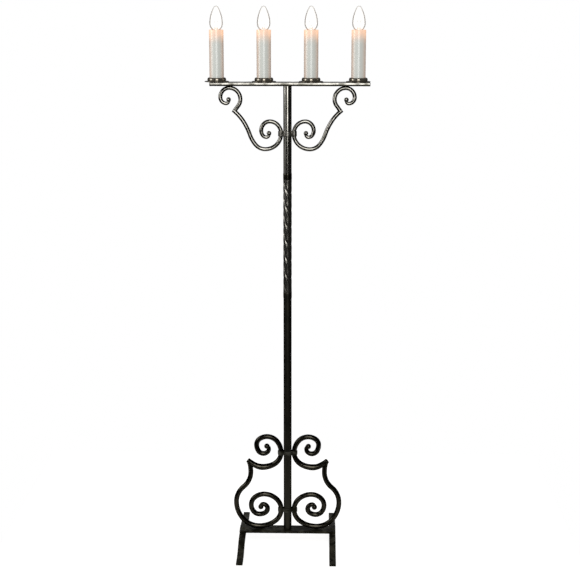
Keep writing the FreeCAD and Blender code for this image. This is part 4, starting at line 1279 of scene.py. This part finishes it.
class CANDELABRUM_OT_stage(bpy.types.Operator):
    """Lay the floor, set the lights and stand the camera where the photograph was taken"""
    bl_idname = "candelabrum.stage"
    bl_label = "Stage"

    def execute(self, context):
        settings = context.scene.candelabrum_stage
        context.scene.view_settings.view_transform = "Standard"
        self.lay_floor(settings)
        self.light_world(context.scene, settings)
        for name, (place, size, way, power) in LIGHTS.items():
            self.hang_light(name, place, size, way, getattr(settings, power))
        self.stand_camera(context.scene, settings)
        return {"FINISHED"}

    def lay_floor(self, settings):
        """Sheet of pale paper under the object that keeps soft shadows and runs into the white behind."""
        material, tree = new_material("Pale studio floor")
        path = add_node(tree, "ShaderNodeLightPath")
        seen = add_node(tree, "ShaderNodeMath", {
            0: path.outputs["Is Camera Ray"], 1: path.outputs["Is Transmission Ray"]}, operation="MAXIMUM")
        lift = add_node(tree, "ShaderNodeMath", {0: seen, 1: FLOOR_LIFT}, operation="MULTIPLY")
        matt = add_node(tree, "ShaderNodeBsdfDiffuse", {"Color": settings.floor})
        white = add_node(tree, "ShaderNodeEmission", {"Strength": lift})
        both = add_node(tree, "ShaderNodeAddShader", {0: matt, 1: white})
        add_node(tree, "ShaderNodeOutputMaterial", {"Surface": both})
        shape = bmesh.new()
        bmesh.ops.create_grid(shape, x_segments=2, y_segments=2, size=1.0)
        bmesh.ops.scale(shape, verts=shape.verts, vec=(FLOOR_SIDE, (FLOOR_BACK - FLOOR_FRONT) / 2, 1.0))
        bmesh.ops.translate(shape, verts=shape.verts, vec=(0.0, (FLOOR_BACK + FLOOR_FRONT) / 2, 0.0))
        floor = mesh_object("studio_floor", shape)
        floor.data.materials.append(material)

    def light_world(self, scene, settings):
        """White to the camera and through glass, a white backdrop in reflections, and an even fill."""
        world = bpy.data.worlds.new("Studio")
        world.use_nodes = True
        tree = world.node_tree
        tree.nodes.clear()
        path = add_node(tree, "ShaderNodeLightPath")
        through = add_node(tree, "ShaderNodeMath", {
            0: path.outputs["Is Camera Ray"], 1: path.outputs["Is Transmission Ray"]}, operation="MAXIMUM")
        seen = add_node(tree, "ShaderNodeMath", {
            0: through, 1: path.outputs["Is Glossy Ray"]}, operation="MAXIMUM")
        # In reflections the white backdrop stands behind the object, and the rest of the room is dim
        way = add_node(tree, "ShaderNodeTexCoord")
        side = add_node(tree, "ShaderNodeSeparateXYZ", {0: way.outputs["Generated"]})
        back = add_node(tree, "ShaderNodeMapRange", {
            0: side.outputs[1], 1: BACKDROP_FROM, 2: BACKDROP_WHOLE, 3: settings.room, 4: 1.0},
            interpolation_type="SMOOTHSTEP")
        shown = add_node(tree, "ShaderNodeMath", {0: through, 1: back}, operation="MAXIMUM")
        strength = add_node(tree, "ShaderNodeMix", {
            0: seen, 2: settings.fill, 3: shown}, data_type="FLOAT")
        white = add_node(tree, "ShaderNodeBackground", {
            "Color": (1.0, 1.0, 1.0, 1.0), "Strength": strength})
        add_node(tree, "ShaderNodeOutputWorld", {"Surface": white})
        scene.world = world

    def hang_light(self, name, place, size, way, power):
        """Rectangular soft light that faces one way and stays out of the picture."""
        light = bpy.data.lights.new(name, "AREA")
        light.shape = "RECTANGLE"
        light.size = size[0]
        light.size_y = size[1]
        light.energy = power
        holder = bpy.data.objects.new(name, light)
        holder.location = place
        holder.rotation_euler = Vector(way).to_track_quat("-Z", "Y").to_euler()
        holder.visible_camera = False
        bpy.context.scene.collection.objects.link(holder)

    def stand_camera(self, scene, settings):
        """Camera at the place, tilt and turn that are set."""
        camera = bpy.data.cameras.new("photo_camera")
        camera.lens = settings.lens
        camera.sensor_width = 36.0
        camera.clip_end = 200.0
        holder = bpy.data.objects.new("photo_camera", camera)
        holder.location = settings.camera_place
        holder.rotation_euler = (math.radians(90) - settings.camera_tilt, 0.0, settings.camera_turn)
        scene.collection.objects.link(holder)
        scene.camera = holder


OPERATORS = (
    CANDELABRUM_OT_scrolls, CANDELABRUM_OT_post, CANDELABRUM_OT_flat_bars, CANDELABRUM_OT_drip_pans,
    CANDELABRUM_OT_sleeves, CANDELABRUM_OT_lamps, CANDELABRUM_OT_fittings, CANDELABRUM_OT_stage,
)
SETTINGS = {
    "candelabrum_iron": IronSettings,
    "candelabrum_candles": CandleSettings,
    "candelabrum_stage": StageSettings,
}


class VIEW3D_PT_candelabrum(bpy.types.Panel):
    """Sizes, colours and steps of the candelabrum"""
    bl_label = "Floor candelabrum"
    bl_space_type = "VIEW_3D"
    bl_region_type = "UI"
    bl_category = "Candelabrum"

    def draw(self, context):
        for name, group in SETTINGS.items():
            box = self.layout.box()
            for label in group.__annotations__:
                box.prop(getattr(context.scene, name), label)
        for operator in OPERATORS:
            self.layout.operator(operator.bl_idname)


def register():
    for group in SETTINGS.values():
        bpy.utils.register_class(group)
    for operator in OPERATORS:
        bpy.utils.register_class(operator)
    bpy.utils.register_class(VIEW3D_PT_candelabrum)
    for name, group in SETTINGS.items():
        setattr(bpy.types.Scene, name, bpy.props.PointerProperty(type=group))


def unregister():
    for name in SETTINGS:
        delattr(bpy.types.Scene, name)
    bpy.utils.unregister_class(VIEW3D_PT_candelabrum)
    for operator in reversed(OPERATORS):
        bpy.utils.unregister_class(operator)
    for group in reversed(list(SETTINGS.values())):
        bpy.utils.unregister_class(group)


def main():
    register()
    bpy.ops.candelabrum.scrolls()
    bpy.ops.candelabrum.post()
    bpy.ops.candelabrum.flat_bars()
    bpy.ops.candelabrum.drip_pans()
    bpy.ops.candelabrum.sleeves()
    bpy.ops.candelabrum.lamps()
    bpy.ops.candelabrum.fittings()
    bpy.ops.candelabrum.stage()


if __name__ == "__main__":
    main()
